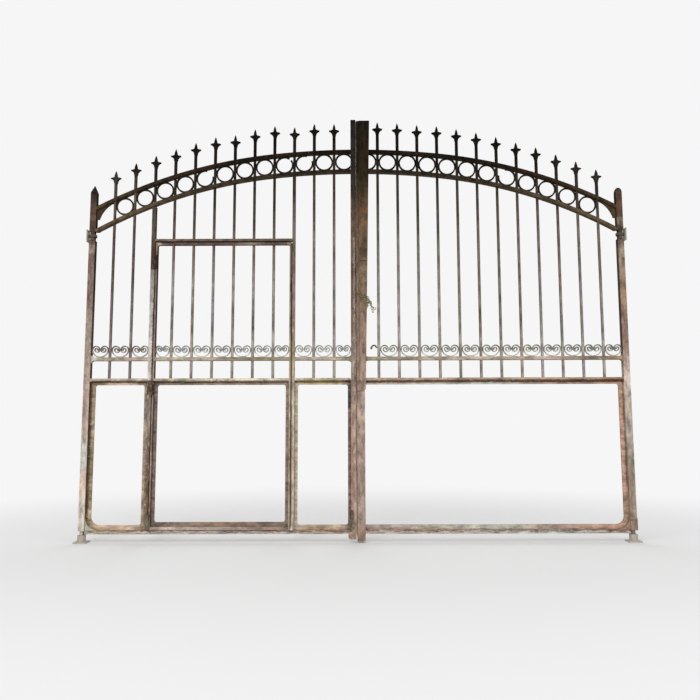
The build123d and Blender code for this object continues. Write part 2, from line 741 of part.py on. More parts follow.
def chain_loop():
    """Chain as one closed loop: through the stile, round its outer edge and back behind it."""
    front = -half_depth - strip_thickness - chain_radius - 1
    back = half_depth + chain_radius + 1
    outer = strip_start - strip_width(chain_low) - chain_radius - 4
    corners = [(chain_hole, front, chain_high), (outer, front, chain_low), (outer, back, chain_low),
               (chain_hole, back, chain_high)]
    corners = [(x, y, z + ground_gap) for x, y, z in corners]
    path = FilletPolyline(*corners, radius=8, close=True)
    return sweep(Plane(path @ 0, z_dir=path % 0) * Circle(chain_radius), path.wire())


save("chain", mirrored(chain_loop()))


# ---- Hinge hardware on the piers ----

def foot_step():
    """Cast step with the socket that a heel stile's pivot turns in."""
    height = ground_gap + heel_bottom - step_rise
    plate = Pos(0, 0, step_plate[2] / 2) * Box(*step_plate)
    cup = Pos(0, 0, height / 2) * Cylinder(pivot_radius + step_wall, height)
    socket_bottom = ground_gap + heel_bottom - pivot_length - 1
    socket = Pos(0, 0, (socket_bottom + height) / 2 + 5) * Cylinder(pivot_radius + fit,
                                                                  height - socket_bottom + 10)
    return plate + cup - socket


def top_collar():
    """Strap round the neck of a heel stile, on a plate that bolts to the pier."""
    z = (neck_low + neck_high) / 2
    thickness, width, height = collar_plate
    pier = -heel_face - pier_gap
    ring = rod(0, 0, z - collar_height / 2, z + collar_height / 2, neck_radius + collar_wall)
    tail = block(pier + 1, 0, -7, 7, z - collar_height / 2, z + collar_height / 2)
    plate = block(pier, pier + thickness, -width / 2, width / 2, z - height / 2, z + height / 2)
    bore = rod(0, 0, z - height, z + height, neck_radius + fit)
    holes = [Pos(pier, 0, z + ground_gap + s * collar_hole_spacing / 2) * Rot(0, 90, 0)
             * Cylinder(collar_hole_radius, 4 * thickness) for s in (-1, 1)]
    return ring + tail + plate - bore - holes


save("foot_steps", foot_step(), mirrored(foot_step()))
save("top_collars", top_collar(), mirrored(top_collar()))
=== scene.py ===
"""Wrought iron driveway gate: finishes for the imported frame, its small ironwork and a plain stage."""
import math
import random

import bmesh
import bpy
from bpy.props import FloatProperty, FloatVectorProperty, PointerProperty
from mathutils import Matrix, Vector


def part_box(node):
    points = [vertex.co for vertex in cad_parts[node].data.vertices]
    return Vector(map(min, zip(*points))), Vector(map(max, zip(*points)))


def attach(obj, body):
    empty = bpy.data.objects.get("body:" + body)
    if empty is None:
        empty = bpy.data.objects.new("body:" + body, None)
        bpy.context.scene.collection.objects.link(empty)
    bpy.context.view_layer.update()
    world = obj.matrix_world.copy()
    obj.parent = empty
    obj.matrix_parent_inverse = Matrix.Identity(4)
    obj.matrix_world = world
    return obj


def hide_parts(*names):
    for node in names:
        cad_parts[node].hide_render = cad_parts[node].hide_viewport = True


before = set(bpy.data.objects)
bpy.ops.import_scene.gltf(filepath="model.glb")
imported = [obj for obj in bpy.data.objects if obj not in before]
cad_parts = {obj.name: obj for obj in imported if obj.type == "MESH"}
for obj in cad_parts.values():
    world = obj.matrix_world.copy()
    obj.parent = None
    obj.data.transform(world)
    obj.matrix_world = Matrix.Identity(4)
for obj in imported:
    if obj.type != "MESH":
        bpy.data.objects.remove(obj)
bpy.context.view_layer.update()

bl_info = {
    "name": "Wrought iron driveway gate",
    "version": (1, 0, 0),
    "blender": (4, 5, 0),
    "location": "View3D > Sidebar > Gate",
    "description": "Finishes a pair of wrought iron driveway leaves with a foot gate",
    "category": "Object",
}

MID_X = (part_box("left_heel_stile")[0].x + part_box("right_heel_stile")[1].x) / 2


# ---- Sizes and colours ----

def shade(red, green, blue):
    """Linear colour of a paint chip given in the usual 0 to 255 steps."""
    shares = [step / 255 for step in (red, green, blue)]
    return tuple(v / 12.92 if v <= 0.04045 else ((v + 0.055) / 1.055) ** 2.4 for v in shares)


def colour(name, description, default):
    """Colour setting with its default given as a paint chip."""
    return FloatVectorProperty(name=name, description=description, default=shade(*default), size=3,
                               subtype="COLOR", min=0, max=1)


class GATE_finish_settings(bpy.types.PropertyGroup):
    """Colours of the iron, its old paint, its rust, and the soot and painted shade on its side and lower
    faces.
    """
    old_paint: colour("Old paint", "Cream paint that still clings to the iron", (214, 205, 188))
    blue_paint: colour("Blue paint", "Older blue-grey coat under the cream", (176, 186, 190))
    bare_rust: colour("Rust", "Dark rust where the paint has gone", (74, 50, 38))
    bright_rust: colour("Bright rust", "Fresh orange rust in pits and on edges", (146, 92, 58))
    lichen: colour("Lichen", "Yellow-green growth on the rails", (142, 140, 92))
    # Soot darkens the faces that look sideways or down: on side faces partly grime and partly painted shade,
    # on faces that look down painted shade
    soot_and_shade: colour("Soot", "Dark grime in the joints", (34, 29, 25))
    mossy: FloatVectorProperty(name="Mossy tint", description="Multiplies the tone where the iron is olive",
                               default=(0.99, 1.0, 0.9), size=3, subtype="COLOR", min=0, max=2)
    rosy: FloatVectorProperty(name="Rosy tint", description="Multiplies the tone where the primer shows",
                              default=(1.03, 0.97, 0.98), size=3, subtype="COLOR", min=0, max=2)
    grain: FloatProperty(name="Grain", description="Fine specks of the rusted surface, per metre",
                         default=330.0)
    relief: FloatProperty(name="Relief", description="Height of flakes and pits", default=0.0005,
                          unit="LENGTH")


class GATE_chain_settings(bpy.types.PropertyGroup):
    """Sizes of the chain that ties the leaves."""
    wire: FloatProperty(name="Wire", description="Radius of a link's wire", default=0.0024, unit="LENGTH")
    link_length: FloatProperty(name="Link length", description="Outside length of a link", default=0.024,
                               unit="LENGTH")
    link_width: FloatProperty(name="Link width", description="Outside width of a link", default=0.0155,
                              unit="LENGTH")


class GATE_scale_settings(bpy.types.PropertyGroup):
    """Dark rust scale on the meeting edges, which narrows the gap between them as painted shade."""
    thickness: FloatProperty(name="Thickness", description="How far the scale stands out of an edge",
                             default=0.0026, unit="LENGTH")
    crumble: FloatProperty(name="Crumble", description="How uneven the scale is", default=0.0002,
                           unit="LENGTH")
    set_back: FloatProperty(name="Set back", description="Scale back from the faces of the stile",
                            default=0.006, unit="LENGTH")


class GATE_stage_settings(bpy.types.PropertyGroup):
    """Floor, backdrop, lamps and camera."""
    backdrop: colour("Backdrop", "Colour of the floor and backdrop", (246, 246, 246))
    lens: FloatProperty(name="Lens", description="Focal length in millimetres", default=35.49)
    camera_place: FloatVectorProperty(name="Camera", description="Where the camera stands", size=3,
                                      default=(1.7763, -4.6125, 0.7573), subtype="TRANSLATION", unit="LENGTH")
    pitch: FloatProperty(name="Pitch", description="How far the camera looks up", default=math.radians(6.25),
                         unit="ROTATION")
    roll: FloatProperty(name="Roll", description="Lean of the camera", default=math.radians(-0.155),
                        unit="ROTATION")
    yaw: FloatProperty(name="Yaw", description="Turn of the camera to the right", default=math.radians(-0.22),
                       unit="ROTATION")


def settings(group):
    """The scene's values of one group of settings."""
    return getattr(bpy.context.scene, group)


# ---- Node materials ----

# Stretches of a pattern: below 1 draws its spots out that way
EVEN, DRAWN_A_LITTLE, DRAWN_UP, DRAWN_ALONG = (1, 1, 1), (1, 1, 0.7), (1, 1, 0.4), (0.4, 1, 1)

# name: (spots per metre, detail, roughness, step added to the piece's seed)
PATTERNS = {
    "broad": (7.0, 3.0, 0.55, 0),
    "blotch": (34.0, 6.0, 0.62, 3),
    "pits": (95.0, 5.0, 0.6, 7),
    "flakes": (52.0, 7.0, 0.68, 11),
    "lichen": (23.0, 6.0, 0.7, 19),
    "tint": (64.0, 3.0, 0.5, 23),
}
MARK_SEED_STEP = 29
SHIFT_SHARES = (1, 0.7, 1.3)
FINE_DETAIL, FINE_ROUGHNESS = 2.0, 0.5
RAGGED_DETAIL, RAGGED_ROUGHNESS, RAGGED_REACH = 5.0, 0.65, 4

# Heights in metres between which the finish changes and the grime and painted shade on side faces fades, and
# how far a face looks sideways or down
BARE_ABOVE, PAINTED_BELOW = 2.15, 1.2
SIDE_GRIME_AND_SHADE_FADES = (1.2, 1.0)
SIDEWAYS, DOWNWARD = (0.6, 0.9), (-0.5, -0.8)

# Limits of noise that the edges of spots lie between: (limit, how far one unit of amount lowers it)
SPOTS = {
    "rust": ((0.66, 0.2), (0.74, 0.16)),
    "paint": ((0.66, 0.16), (0.70, 0.14)),
    "lichen": ((0.62, 0.14), (0.70, 0.1)),
}
BLOTCH_EDGE, TINT_EDGE, BRIGHT_EDGE, BLUE_EDGE = (0.34, 0.66), (0.42, 0.58), (0.45, 0.62), (0.42, 0.6)

# Strengths of the layers, and how each roughens and raises the surface
DRIFT_REACH, DARKER, LIGHTER, FINE_SWING = 3, 0.36, 0.3, 0.5
# How much darker the rust gets high up, partly dark bare iron and partly painted shade
DARK_RUST_AND_SHADE_HIGH_UP = (0.3, 0.27, 0.25)
RUST_COVER, RUST_WORN, COAT_WORN, LEAST_PAINT = 0.75, 0.5, 0.55, 0.35
# The second is how much of a downward face the painted underside light covers
LICHEN_COVER, PAINTED_UNDERSIDE_LIGHT_COVER = 0.8, 0.8
BARE_ROUGHNESS, PAINT_SHEEN, IRON_SPECULAR = 0.92, -0.22, 0.03
RAISED_FINE, RAISED_CHIPS, RAISED_BLOTCH, SUNK_RUST = 0.35, 0.6, 0.8, 0.5


class Recipe:
    """One procedural material, built node by node on Object coordinates."""

    def __init__(self, name):
        self.material = bpy.data.materials.new(name)
        self.material.use_nodes = True
        self.tree = self.material.node_tree
        self.shader = self.tree.nodes["Principled BSDF"]
        self.place = self.add("ShaderNodeTexCoord").outputs["Object"]

    def add(self, kind, values=None, **options):
        """New node with its options and the values or links of its inputs."""
        made = self.tree.nodes.new(kind)
        for key, value in options.items():
            setattr(made, key, value)
        for key, value in (values or {}).items():
            self.put(made.inputs[key], value)
        return made

    def put(self, socket, value):
        """Link a socket, or set its value."""
        if isinstance(value, bpy.types.NodeSocket):
            self.tree.links.new(value, socket)
        elif isinstance(value, tuple) and len(value) == 3 and socket.type == "RGBA":
            socket.default_value = (*value, 1)
        else:
            socket.default_value = value

    def math(self, operation, a, b=0.0, clamp=False):
        return self.add("ShaderNodeMath", {0: a, 1: b}, operation=operation, use_clamp=clamp).outputs[0]

    def noise(self, scale, detail, rough, stretch, shift):
        """Noise over the place on the piece, stretched and then shifted."""
        place = self.add("ShaderNodeMapping", {"Vector": self.place, "Scale": stretch,
                                               "Location": tuple(shift * share for share in SHIFT_SHARES)})
        return self.add("ShaderNodeTexNoise", {"Vector": place.outputs[0], "Scale": scale, "Detail": detail,
                                               "Roughness": rough}).outputs["Fac"]

    def pattern(self, name, stretch, seed):
        """One of the patterns in the table above, shifted by the piece's seed."""
        scale, detail, rough, step = PATTERNS[name]
        return self.noise(scale, detail, rough, stretch, seed + step)

    def spread(self, value, low, high, start=0.0, end=1.0, **options):
        """start at low and end at high, straight between."""
        return self.add("ShaderNodeMapRange", {"Value": value, "From Min": low, "From Max": high,
                                               "To Min": start, "To Max": end}, **options).outputs[0]

    def band(self, value, low, high):
        """0 below low, 1 above high, smooth between."""
        return self.spread(value, low, high, interpolation_type="SMOOTHSTEP")

    def mix(self, amount, a, b, blend="MIX"):
        """Mix of two colours, on the colour sockets of the node."""
        return self.add("ShaderNodeMix", {0: amount, 6: a, 7: b}, data_type="RGBA",
                        blend_type=blend).outputs[2]

    def spots(self, noise, kind, amount):
        """Spots of rust, paint or lichen, more of them as the amount grows."""
        return self.band(noise, *(limit - reach * amount for limit, reach in SPOTS[kind]))

    def multiplied(self, a, b):
        return self.mix(1.0, a, b, "MULTIPLY")

    def tones(self, value, stops):
        """Colour ramp over stops of (where, colour), where value runs on the same scale."""
        low, high = stops[0][0], stops[-1][0]
        made = self.add("ShaderNodeValToRGB", {"Fac": self.spread(value, low, high)})
        points = made.color_ramp.elements
        for index, (where, tone) in enumerate(stops):
            at = (where - low) / (high - low)
            point = points[index] if index < 2 else points.new(at)
            point.position = at
            point.color = (*shade(*tone), 1)
        return made.outputs["Color"]

    def axis(self, name):
        return self.add("ShaderNodeSeparateXYZ", {0: self.place}).outputs[name]

    def facing(self, name):
        """How far a face looks along one axis, from -1 to 1."""
        normal = self.add("ShaderNodeTexCoord").outputs["Normal"]
        return self.add("ShaderNodeSeparateXYZ", {0: normal}).outputs[name]

    def window(self, value, low, high, soft):
        """1 between low and high, 0 outside, with soft edges."""
        return self.math("MULTIPLY", self.band(value, low - soft, low + soft),
                         self.band(value, high + soft, high - soft))

    def members(self, along, by_place):
        """Tones of the members of one node, told apart by how far along the gate they stand."""
        result = self.tones(along, by_place[0][1])
        for (limit, _), (_, stops) in zip(by_place, by_place[1:]):
            past = self.math("GREATER_THAN", self.axis("X"), limit)
            result = self.mix(past, result, self.tones(along, stops))
        return result

    def mark(self, base, across, up, tone, amount, soft, ragged, scale, seed):
        """Lays a ragged patch of another tone between two places along the gate and two heights."""
        shake = self.noise(scale, RAGGED_DETAIL, RAGGED_ROUGHNESS, EVEN, seed)
        shake = self.math("MULTIPLY", self.math("SUBTRACT", shake, 0.5), ragged * RAGGED_REACH)
        mask = amount
        for name, limits in (("X", across), ("Z", up)):
            if limits:
                place = self.math("ADD", self.axis(name), shake)
                mask = self.math("MULTIPLY", self.window(place, *limits, soft), mask)
        return self.mix(mask, base, shade(*tone))

    def relief(self, height, depth):
        bump = self.add("ShaderNodeBump", {"Height": height, "Distance": depth, "Strength": 1.0})
        self.put(self.shader.inputs["Normal"], bump.outputs[0])


# side and side_low set the grime and painted shade on faces that look sideways, under sets the painted shade
# on faces that look down
def weathered_iron(name, stops, axis="Z", drift=0.09, paint=0.35, rust=0.4, lichen=0.0, blue=False, seed=0.0,
                   grain=DRAWN_UP, contrast=1.3, side=0.5, side_low=None, under=0.4, painted_underside_light=None, marks=()):
    """Rusted wrought iron with the last of its paint. Stops give its tone along one axis."""
    look = settings("gate_finish")
    r = Recipe(name)
    broad = r.pattern("broad", grain, seed)
    blotch = r.pattern("blotch", grain, seed)
    pits = r.pattern("pits", DRAWN_A_LITTLE, seed)
    flakes = r.pattern("flakes", grain, seed)
    fine = r.noise(look.grain, FINE_DETAIL, FINE_ROUGHNESS, EVEN, seed)
    height = r.axis("Z")
    low_down = r.spread(height, BARE_ABOVE, PAINTED_BELOW)

    # Tone of the member where it stands, with its patches
    shake = r.math("MULTIPLY", r.math("SUBTRACT", broad, 0.5), drift * DRIFT_REACH)
    along = r.math("ADD", r.axis(axis), shake)
    by_place = stops if isinstance(stops[0][1][0], tuple) else ((0, stops),)
    base = r.members(along, by_place)
    for number, patch in enumerate(marks):
        base = r.mark(base, *patch, seed=seed + MARK_SEED_STEP + number)

    # Blotches and specks, then an olive or rosy cast
    swing = r.spread(blotch, *BLOTCH_EDGE, 1 - DARKER * contrast, 1 + LIGHTER * contrast)
    swing = r.math("MULTIPLY", swing, r.math("ADD", r.math("MULTIPLY", fine, FINE_SWING), 1 - FINE_SWING / 2))
    grey = r.add("ShaderNodeCombineColor", {0: swing, 1: swing, 2: swing}).outputs[0]
    base = r.multiplied(base, grey)
    cast = r.band(r.pattern("tint", grain, seed), *TINT_EDGE)
    base = r.multiplied(base, r.mix(cast, tuple(look.mossy), tuple(look.rosy)))

    # Rust in the pits, darker high up, partly as dark bare iron and partly as painted shade
    rusty = r.spots(pits, "rust", rust)
    warm = r.mix(r.band(blotch, *BRIGHT_EDGE), tuple(look.bare_rust), tuple(look.bright_rust))
    warm = r.mix(RUST_WORN, warm, base)
    warm = r.mix(low_down, r.multiplied(warm, DARK_RUST_AND_SHADE_HIGH_UP), warm)
    base = r.mix(r.math("MULTIPLY", rusty, RUST_COVER), base, warm)

    # Flakes of old paint, none of them high up
    chips = r.spots(flakes, "paint", paint)
    coat = tuple(look.old_paint)
    if blue:
        coat = r.mix(r.band(broad, *BLUE_EDGE), coat, tuple(look.blue_paint))
    coat = r.mix(COAT_WORN, coat, base)
    chips = r.math("MULTIPLY", chips, r.math("MULTIPLY", low_down, min(1.0, LEAST_PAINT + paint)))
    base = r.mix(chips, base, coat)
    if lichen:
        grown = r.spots(r.pattern("lichen", EVEN, seed), "lichen", lichen)
        base = r.mix(r.math("MULTIPLY", grown, LICHEN_COVER), base, tuple(look.lichen))

    # Grime and painted shade on the faces that look sideways, painted shade on the faces that look down
    sideways = r.band(r.math("ABSOLUTE", r.facing("X")), *SIDEWAYS)
    downward = r.band(r.facing("Z"), *DOWNWARD)
    if side_low is not None:
        side = r.math("ADD", r.math("MULTIPLY", r.band(height, *SIDE_GRIME_AND_SHADE_FADES), side_low - side), side)
    grime_and_shade = r.math("ADD", r.math("MULTIPLY", sideways, side), r.math("MULTIPLY", downward, under), clamp=True)
    base = r.mix(grime_and_shade, base, r.multiplied(base, tuple(look.soot_and_shade)))
    # Painted light: a lighter olive tone on the faces that look down
    if painted_underside_light:
        base = r.mix(r.math("MULTIPLY", downward, PAINTED_UNDERSIDE_LIGHT_COVER), base, r.multiplied(shade(*painted_underside_light), grey))

    r.put(r.shader.inputs["Base Color"], base)
    rough = r.math("ADD", BARE_ROUGHNESS, r.math("MULTIPLY", chips, PAINT_SHEEN))
    r.put(r.shader.inputs["Roughness"], rough)
    r.shader.inputs["Specular IOR Level"].default_value = IRON_SPECULAR
    level = r.math("ADD", r.math("MULTIPLY", fine, RAISED_FINE), r.math("MULTIPLY", chips, RAISED_CHIPS))
    level = r.math("SUBTRACT", level, r.math("MULTIPLY", rusty, SUNK_RUST))
    level = r.math("ADD", level, r.math("MULTIPLY", blotch, RAISED_BLOTCH))
    r.relief(level, look.relief)
    return r.material


# ---- Tones of the members ----

# Stops of (height or place along the gate in metres, paint chip). Where like members stand in one node,
# (place, stops) rows give the tones of those that stand before that place.
# Their darkening towards the top is partly dark bare iron and partly painted shade
LEFT_HEEL = ((0.07, (192, 186, 174)), (0.2, (208, 200, 187)), (0.33, (200, 184, 174)),
             (0.55, (190, 188, 182)), (0.72, (188, 172, 160)), (1.0, (163, 143, 133)),
             (1.3, (157, 143, 131)), (1.5, (150, 134, 126)), (1.7, (130, 110, 103)), (1.96, (105, 90, 81)),
             (2.2, (100, 81, 74)), (2.3, (66, 58, 52)), (2.42, (48, 43, 40)))
RIGHT_HEEL = ((0.08, (172, 157, 148)), (0.15, (160, 140, 127)), (0.4, (155, 137, 124)),
              (0.56, (154, 143, 130)), (0.72, (174, 164, 156)), (0.9, (186, 174, 166)),
              (1.13, (204, 184, 177)), (1.3, (142, 120, 109)), (1.65, (150, 125, 110)),
              (1.95, (138, 122, 110)), (2.1, (90, 78, 68)), (2.3, (82, 67, 58)), (2.38, (54, 48, 45)))
LEFT_MEETING = ((0.03, (168, 146, 132)), (0.25, (180, 155, 142)), (0.45, (168, 141, 126)),
                (0.85, (160, 138, 124)), (1.02, (150, 130, 119)), (1.2, (166, 150, 142)),
                (1.36, (124, 106, 101)), (1.56, (108, 91, 86)), (1.76, (92, 76, 70)), (2.0, (108, 94, 84)),
                (2.12, (96, 84, 76)), (2.25, (68, 60, 53)), (2.4, (54, 47, 41)), (2.6, (44, 39, 35)),
                (2.86, (32, 31, 29)))
RIGHT_MEETING = ((0.03, (146, 123, 110)), (0.16, (164, 147, 137)), (0.42, (160, 140, 130)),
                 (0.72, (164, 145, 134)), (0.86, (176, 156, 144)), (1.0, (166, 148, 136)),
                 (1.1, (164, 142, 129)), (1.36, (143, 121, 108)), (1.76, (124, 108, 88)),
                 (1.96, (95, 81, 64)), (2.16, (101, 80, 63)), (2.36, (62, 52, 38)), (2.5, (42, 35, 25)),
                 (2.86, (27, 24, 19)))
SPEAR_HEADS = ((2.66, (24, 21, 18)), (2.85, (18, 16, 14)))
BARS_AT_HEEL = ((1.1, (126, 116, 116)), (1.3, (132, 126, 124)), (1.42, (112, 105, 106)),
                (1.56, (112, 104, 104)), (1.71, (92, 83, 79)), (1.86, (90, 82, 77)), (2.0, (86, 75, 79)),
                (2.15, (84, 74, 68)), (2.3, (98, 88, 82)), (2.4, (74, 68, 62)), (2.52, (28, 24, 21)))
BARS_BY_FOOT_GATE = ((1.1, (146, 138, 132)), (1.32, (172, 166, 154)), (1.42, (118, 110, 106)),
                     (1.56, (134, 131, 126)), (1.71, (154, 148, 147)), (1.86, (110, 101, 99)),
                     (2.0, (106, 90, 82)), (2.14, (88, 80, 75)), (2.26, (61, 57, 51)), (2.4, (54, 47, 41)),
                     (2.5, (44, 38, 33))) + SPEAR_HEADS
BARS_AT_MEETING = ((1.1, (146, 144, 132)), (1.32, (151, 147, 146)), (1.42, (138, 134, 126)),
                   (1.56, (122, 118, 116)), (1.71, (141, 135, 136)), (1.86, (118, 110, 110)),
                   (2.0, (129, 122, 119)), (2.14, (102, 95, 88)), (2.26, (83, 75, 66)), (2.4, (68, 62, 55)),
                   (2.5, (60, 54, 44)), (2.66, (30, 28, 20)), (2.85, (18, 16, 14)))
RIGHT_BARS_NEAR = ((1.1, (160, 153, 148)), (1.31, (160, 156, 150)), (1.41, (150, 146, 138)),
                   (1.56, (158, 153, 144)), (1.71, (126, 123, 118)), (1.86, (122, 117, 110)),
                   (2.01, (108, 108, 102)), (2.14, (90, 86, 82)), (2.26, (64, 60, 53)),
                   (2.39, (58, 53, 46)), (2.5, (44, 38, 30))) + SPEAR_HEADS
RIGHT_BARS_MIDDLE = ((1.1, (150, 144, 134)), (1.32, (152, 146, 132)), (1.42, (126, 119, 108)),
                     (1.56, (119, 111, 98)), (1.71, (113, 104, 92)), (1.86, (116, 110, 97)),
                     (2.0, (106, 98, 88)), (2.14, (90, 83, 73)), (2.26, (74, 68, 60)), (2.4, (58, 54, 48)),
                     (2.5, (44, 38, 31))) + SPEAR_HEADS
RIGHT_BARS_FAR = ((1.1, (156, 149, 146)), (1.32, (156, 155, 152)), (1.42, (128, 123, 116)),
                  (1.56, (138, 132, 126)), (1.71, (130, 119, 116)), (1.86, (112, 102, 98)),
                  (2.0, (118, 111, 102)), (2.14, (106, 99, 92)), (2.26, (76, 69, 64)), (2.4, (54, 50, 44)),
                  (2.5, (44, 38, 32))) + SPEAR_HEADS
RIGHT_BARS = ((2.43, RIGHT_BARS_NEAR), (2.98, RIGHT_BARS_MIDDLE), (9.0, RIGHT_BARS_FAR))
HINGE_POST = ((0.16, (150, 130, 118)), (0.36, (142, 120, 104)), (0.56, (146, 128, 120)),
              (0.76, (160, 152, 148)), (0.96, (152, 142, 136)), (1.06, (192, 188, 186)),
              (1.2, (206, 200, 192)), (1.36, (200, 194, 196)), (1.56, (192, 186, 188)),
              (1.72, (150, 146, 146)), (1.86, (98, 86, 78)), (1.96, (84, 72, 64)), (2.06, (97, 85, 74)),
              (2.3, (68, 59, 52)), (2.5, (40, 34, 29)), (2.85, (18, 16, 14)))
LOCK_POST = ((0.16, (199, 190, 176)), (0.36, (200, 184, 164)), (0.56, (201, 182, 163)),
             (0.76, (193, 178, 157)), (0.96, (208, 199, 179)), (1.06, (177, 164, 148)),
             (1.2, (172, 160, 138)), (1.36, (134, 119, 102)), (1.56, (136, 118, 109)),
             (1.76, (119, 107, 98)), (1.96, (102, 94, 79)), (2.06, (110, 106, 97)), (2.3, (74, 67, 60)),
             (2.5, (42, 37, 32)), (2.85, (18, 16, 14)))
POSTS = ((0.9, HINGE_POST), (9.0, LOCK_POST))
WICKET = (
    (0.9, ((0.1, (160, 132, 121)), (0.36, (146, 124, 113)), (0.56, (142, 122, 111)),
           (0.76, (138, 118, 108)), (0.96, (130, 111, 97)), (1.06, (150, 132, 118)), (1.2, (164, 142, 131)),
           (1.36, (140, 119, 113)), (1.56, (126, 118, 108)), (1.76, (112, 95, 83)), (2.0, (126, 107, 94)))),
    (9.0, ((0.1, (157, 140, 128)), (0.36, (156, 140, 129)), (0.56, (158, 142, 122)),
           (0.76, (192, 179, 159)), (0.96, (187, 175, 163)), (1.06, (158, 147, 131)),
           (1.2, (170, 156, 127)), (1.36, (124, 111, 104)), (1.56, (143, 129, 122)),
           (1.76, (118, 105, 104)), (2.0, (134, 122, 108)))),
)
LEFT_MID = ((0.05, (162, 141, 130)), (0.4, (164, 146, 130)), (0.6, (194, 186, 172)), (0.9, (214, 209, 194)),
            (1.3, (216, 210, 190)), (1.45, (176, 160, 146)), (1.6, (190, 176, 164)),
            (1.77, (178, 152, 138)))
RIGHT_MID = ((1.87, (172, 154, 140)), (2.0, (172, 152, 138)), (2.3, (168, 144, 130)),
             (2.7, (142, 121, 105)), (3.1, (154, 136, 112)), (3.4, (130, 104, 86)), (3.59, (128, 101, 83)))
SCROLL_RAIL = ((0.02, (166, 154, 144)), (0.3, (176, 161, 148)), (0.6, (178, 167, 152)),
               (0.9, (166, 153, 143)), (1.2, (138, 134, 106)), (1.5, (170, 158, 148)),
               (1.75, (172, 160, 138)), (2.0, (142, 134, 120)), (2.3, (171, 160, 143)),
               (2.7, (186, 172, 160)), (3.1, (177, 158, 147)), (3.4, (124, 113, 102)),
               (3.59, (150, 130, 104)))
LEFT_FOOT = ((0.02, (166, 144, 126)), (0.4, (172, 144, 124)), (0.55, (198, 184, 176)),
             (0.9, (170, 156, 149)), (1.2, (158, 136, 124)), (1.5, (168, 144, 127)),
             (1.77, (182, 158, 141)))
RIGHT_FOOT = ((1.87, (182, 158, 144)), (2.1, (176, 150, 136)), (2.4, (176, 157, 147)),
              (2.75, (178, 165, 159)), (3.1, (171, 176, 172)), (3.4, (148, 142, 130)),
              (3.59, (150, 126, 110)))
LEFT_STRIPS = ((0.02, (152, 134, 106)), (0.06, (164, 146, 120)), (0.1, (214, 191, 170)),
               (0.3, (224, 200, 178)), (0.38, (172, 154, 137)), (0.42, (152, 134, 124)),
               (1.38, (186, 176, 160)), (1.42, (190, 178, 160)), (1.5, (198, 175, 155)),
               (1.68, (190, 172, 152)), (1.74, (124, 112, 104)))
FOOT_STRIPS = ((0.46, (124, 110, 105)), (0.6, (142, 129, 117)), (0.9, (149, 127, 112)),
               (1.2, (139, 121, 114)), (1.34, (150, 134, 124)))
RIGHT_STRIPS = ((1.87, (188, 174, 166)), (2.0, (191, 178, 171)), (2.3, (196, 189, 178)),
                (2.7, (202, 203, 195)), (3.1, (172, 150, 138)), (3.45, (190, 158, 142)),
                (3.54, (190, 156, 138)), (3.59, (172, 142, 124)))
SCROLLS = (
    (0.46, ((1.216, (190, 180, 176)), (1.24, (178, 168, 164)), (1.264, (128, 115, 110)),
            (1.3, (120, 107, 102)))),
    (1.9, ((1.216, (208, 208, 205)), (1.24, (198, 199, 196)), (1.264, (140, 146, 141)),
           (1.3, (134, 138, 133)))),
    (9.0, ((1.216, (200, 199, 193)), (1.24, (188, 187, 181)), (1.264, (130, 130, 119)),
           (1.3, (122, 121, 111)))),
)
RINGS = ((2.2, (52, 45, 36)), (2.4, (38, 33, 27)), (2.64, (26, 23, 19)))
UPPER_ARCH = ((2.2, (86, 70, 53)), (2.3, (68, 56, 43)), (2.4, (45, 38, 30)), (2.55, (30, 26, 21)),
              (2.66, (24, 21, 17)))
LOWER_ARCH = ((2.05, (98, 82, 66)), (2.2, (92, 78, 60)), (2.35, (66, 56, 43)), (2.45, (50, 43, 33)),
              (2.52, (38, 33, 26)))
LINTEL = ((0.44, (112, 98, 90)), (0.9, (110, 97, 87)), (1.37, (106, 92, 84)))
TOP_RAIL = ((0.46, (152, 140, 130)), (0.52, (98, 78, 76)), (0.9, (96, 80, 78)), (1.1, (144, 130, 120)),
            (1.2, (104, 86, 85)), (1.35, (104, 88, 82)))
LEFT_BRACKETS = ((0.06, (176, 178, 164)), (0.2, (188, 186, 176)), (2.1, (88, 73, 58)), (2.3, (66, 55, 43)))
RIGHT_BRACKETS = ((0.06, (156, 132, 116)), (0.2, (160, 136, 120)), (2.1, (88, 68, 55)), (2.3, (66, 53, 43)))
STOPS = ((0.1, (96, 80, 68)), (1.0, (104, 88, 76)), (2.0, (84, 70, 62)))
HARDWARE = ((0.0, (186, 182, 175)), (0.06, (176, 170, 162)), (1.98, (186, 183, 178)),
            (2.1, (178, 174, 168)))
FITTINGS = ((0.07, (128, 126, 106)), (0.16, (122, 112, 96)), (0.25, (96, 80, 70)), (0.9, (92, 80, 72)),
            (1.2, (70, 60, 54)), (2.0, (70, 58, 51)))
LOCK_PLATE = ((0.9, (158, 136, 124)), (1.1, (150, 128, 117)))
CHAIN = ((1.5, (152, 146, 120)), (1.66, (132, 126, 96)))
EDGE_SCALE_IN_GAP_SHADE = ((0.0, (66, 50, 43)), (1.8, (52, 42, 34)), (2.86, (30, 26, 22)))
PAINT_FLAKE = ((1.7, (196, 184, 172)), (1.8, (206, 196, 184)))


# ---- Patches on the members ----

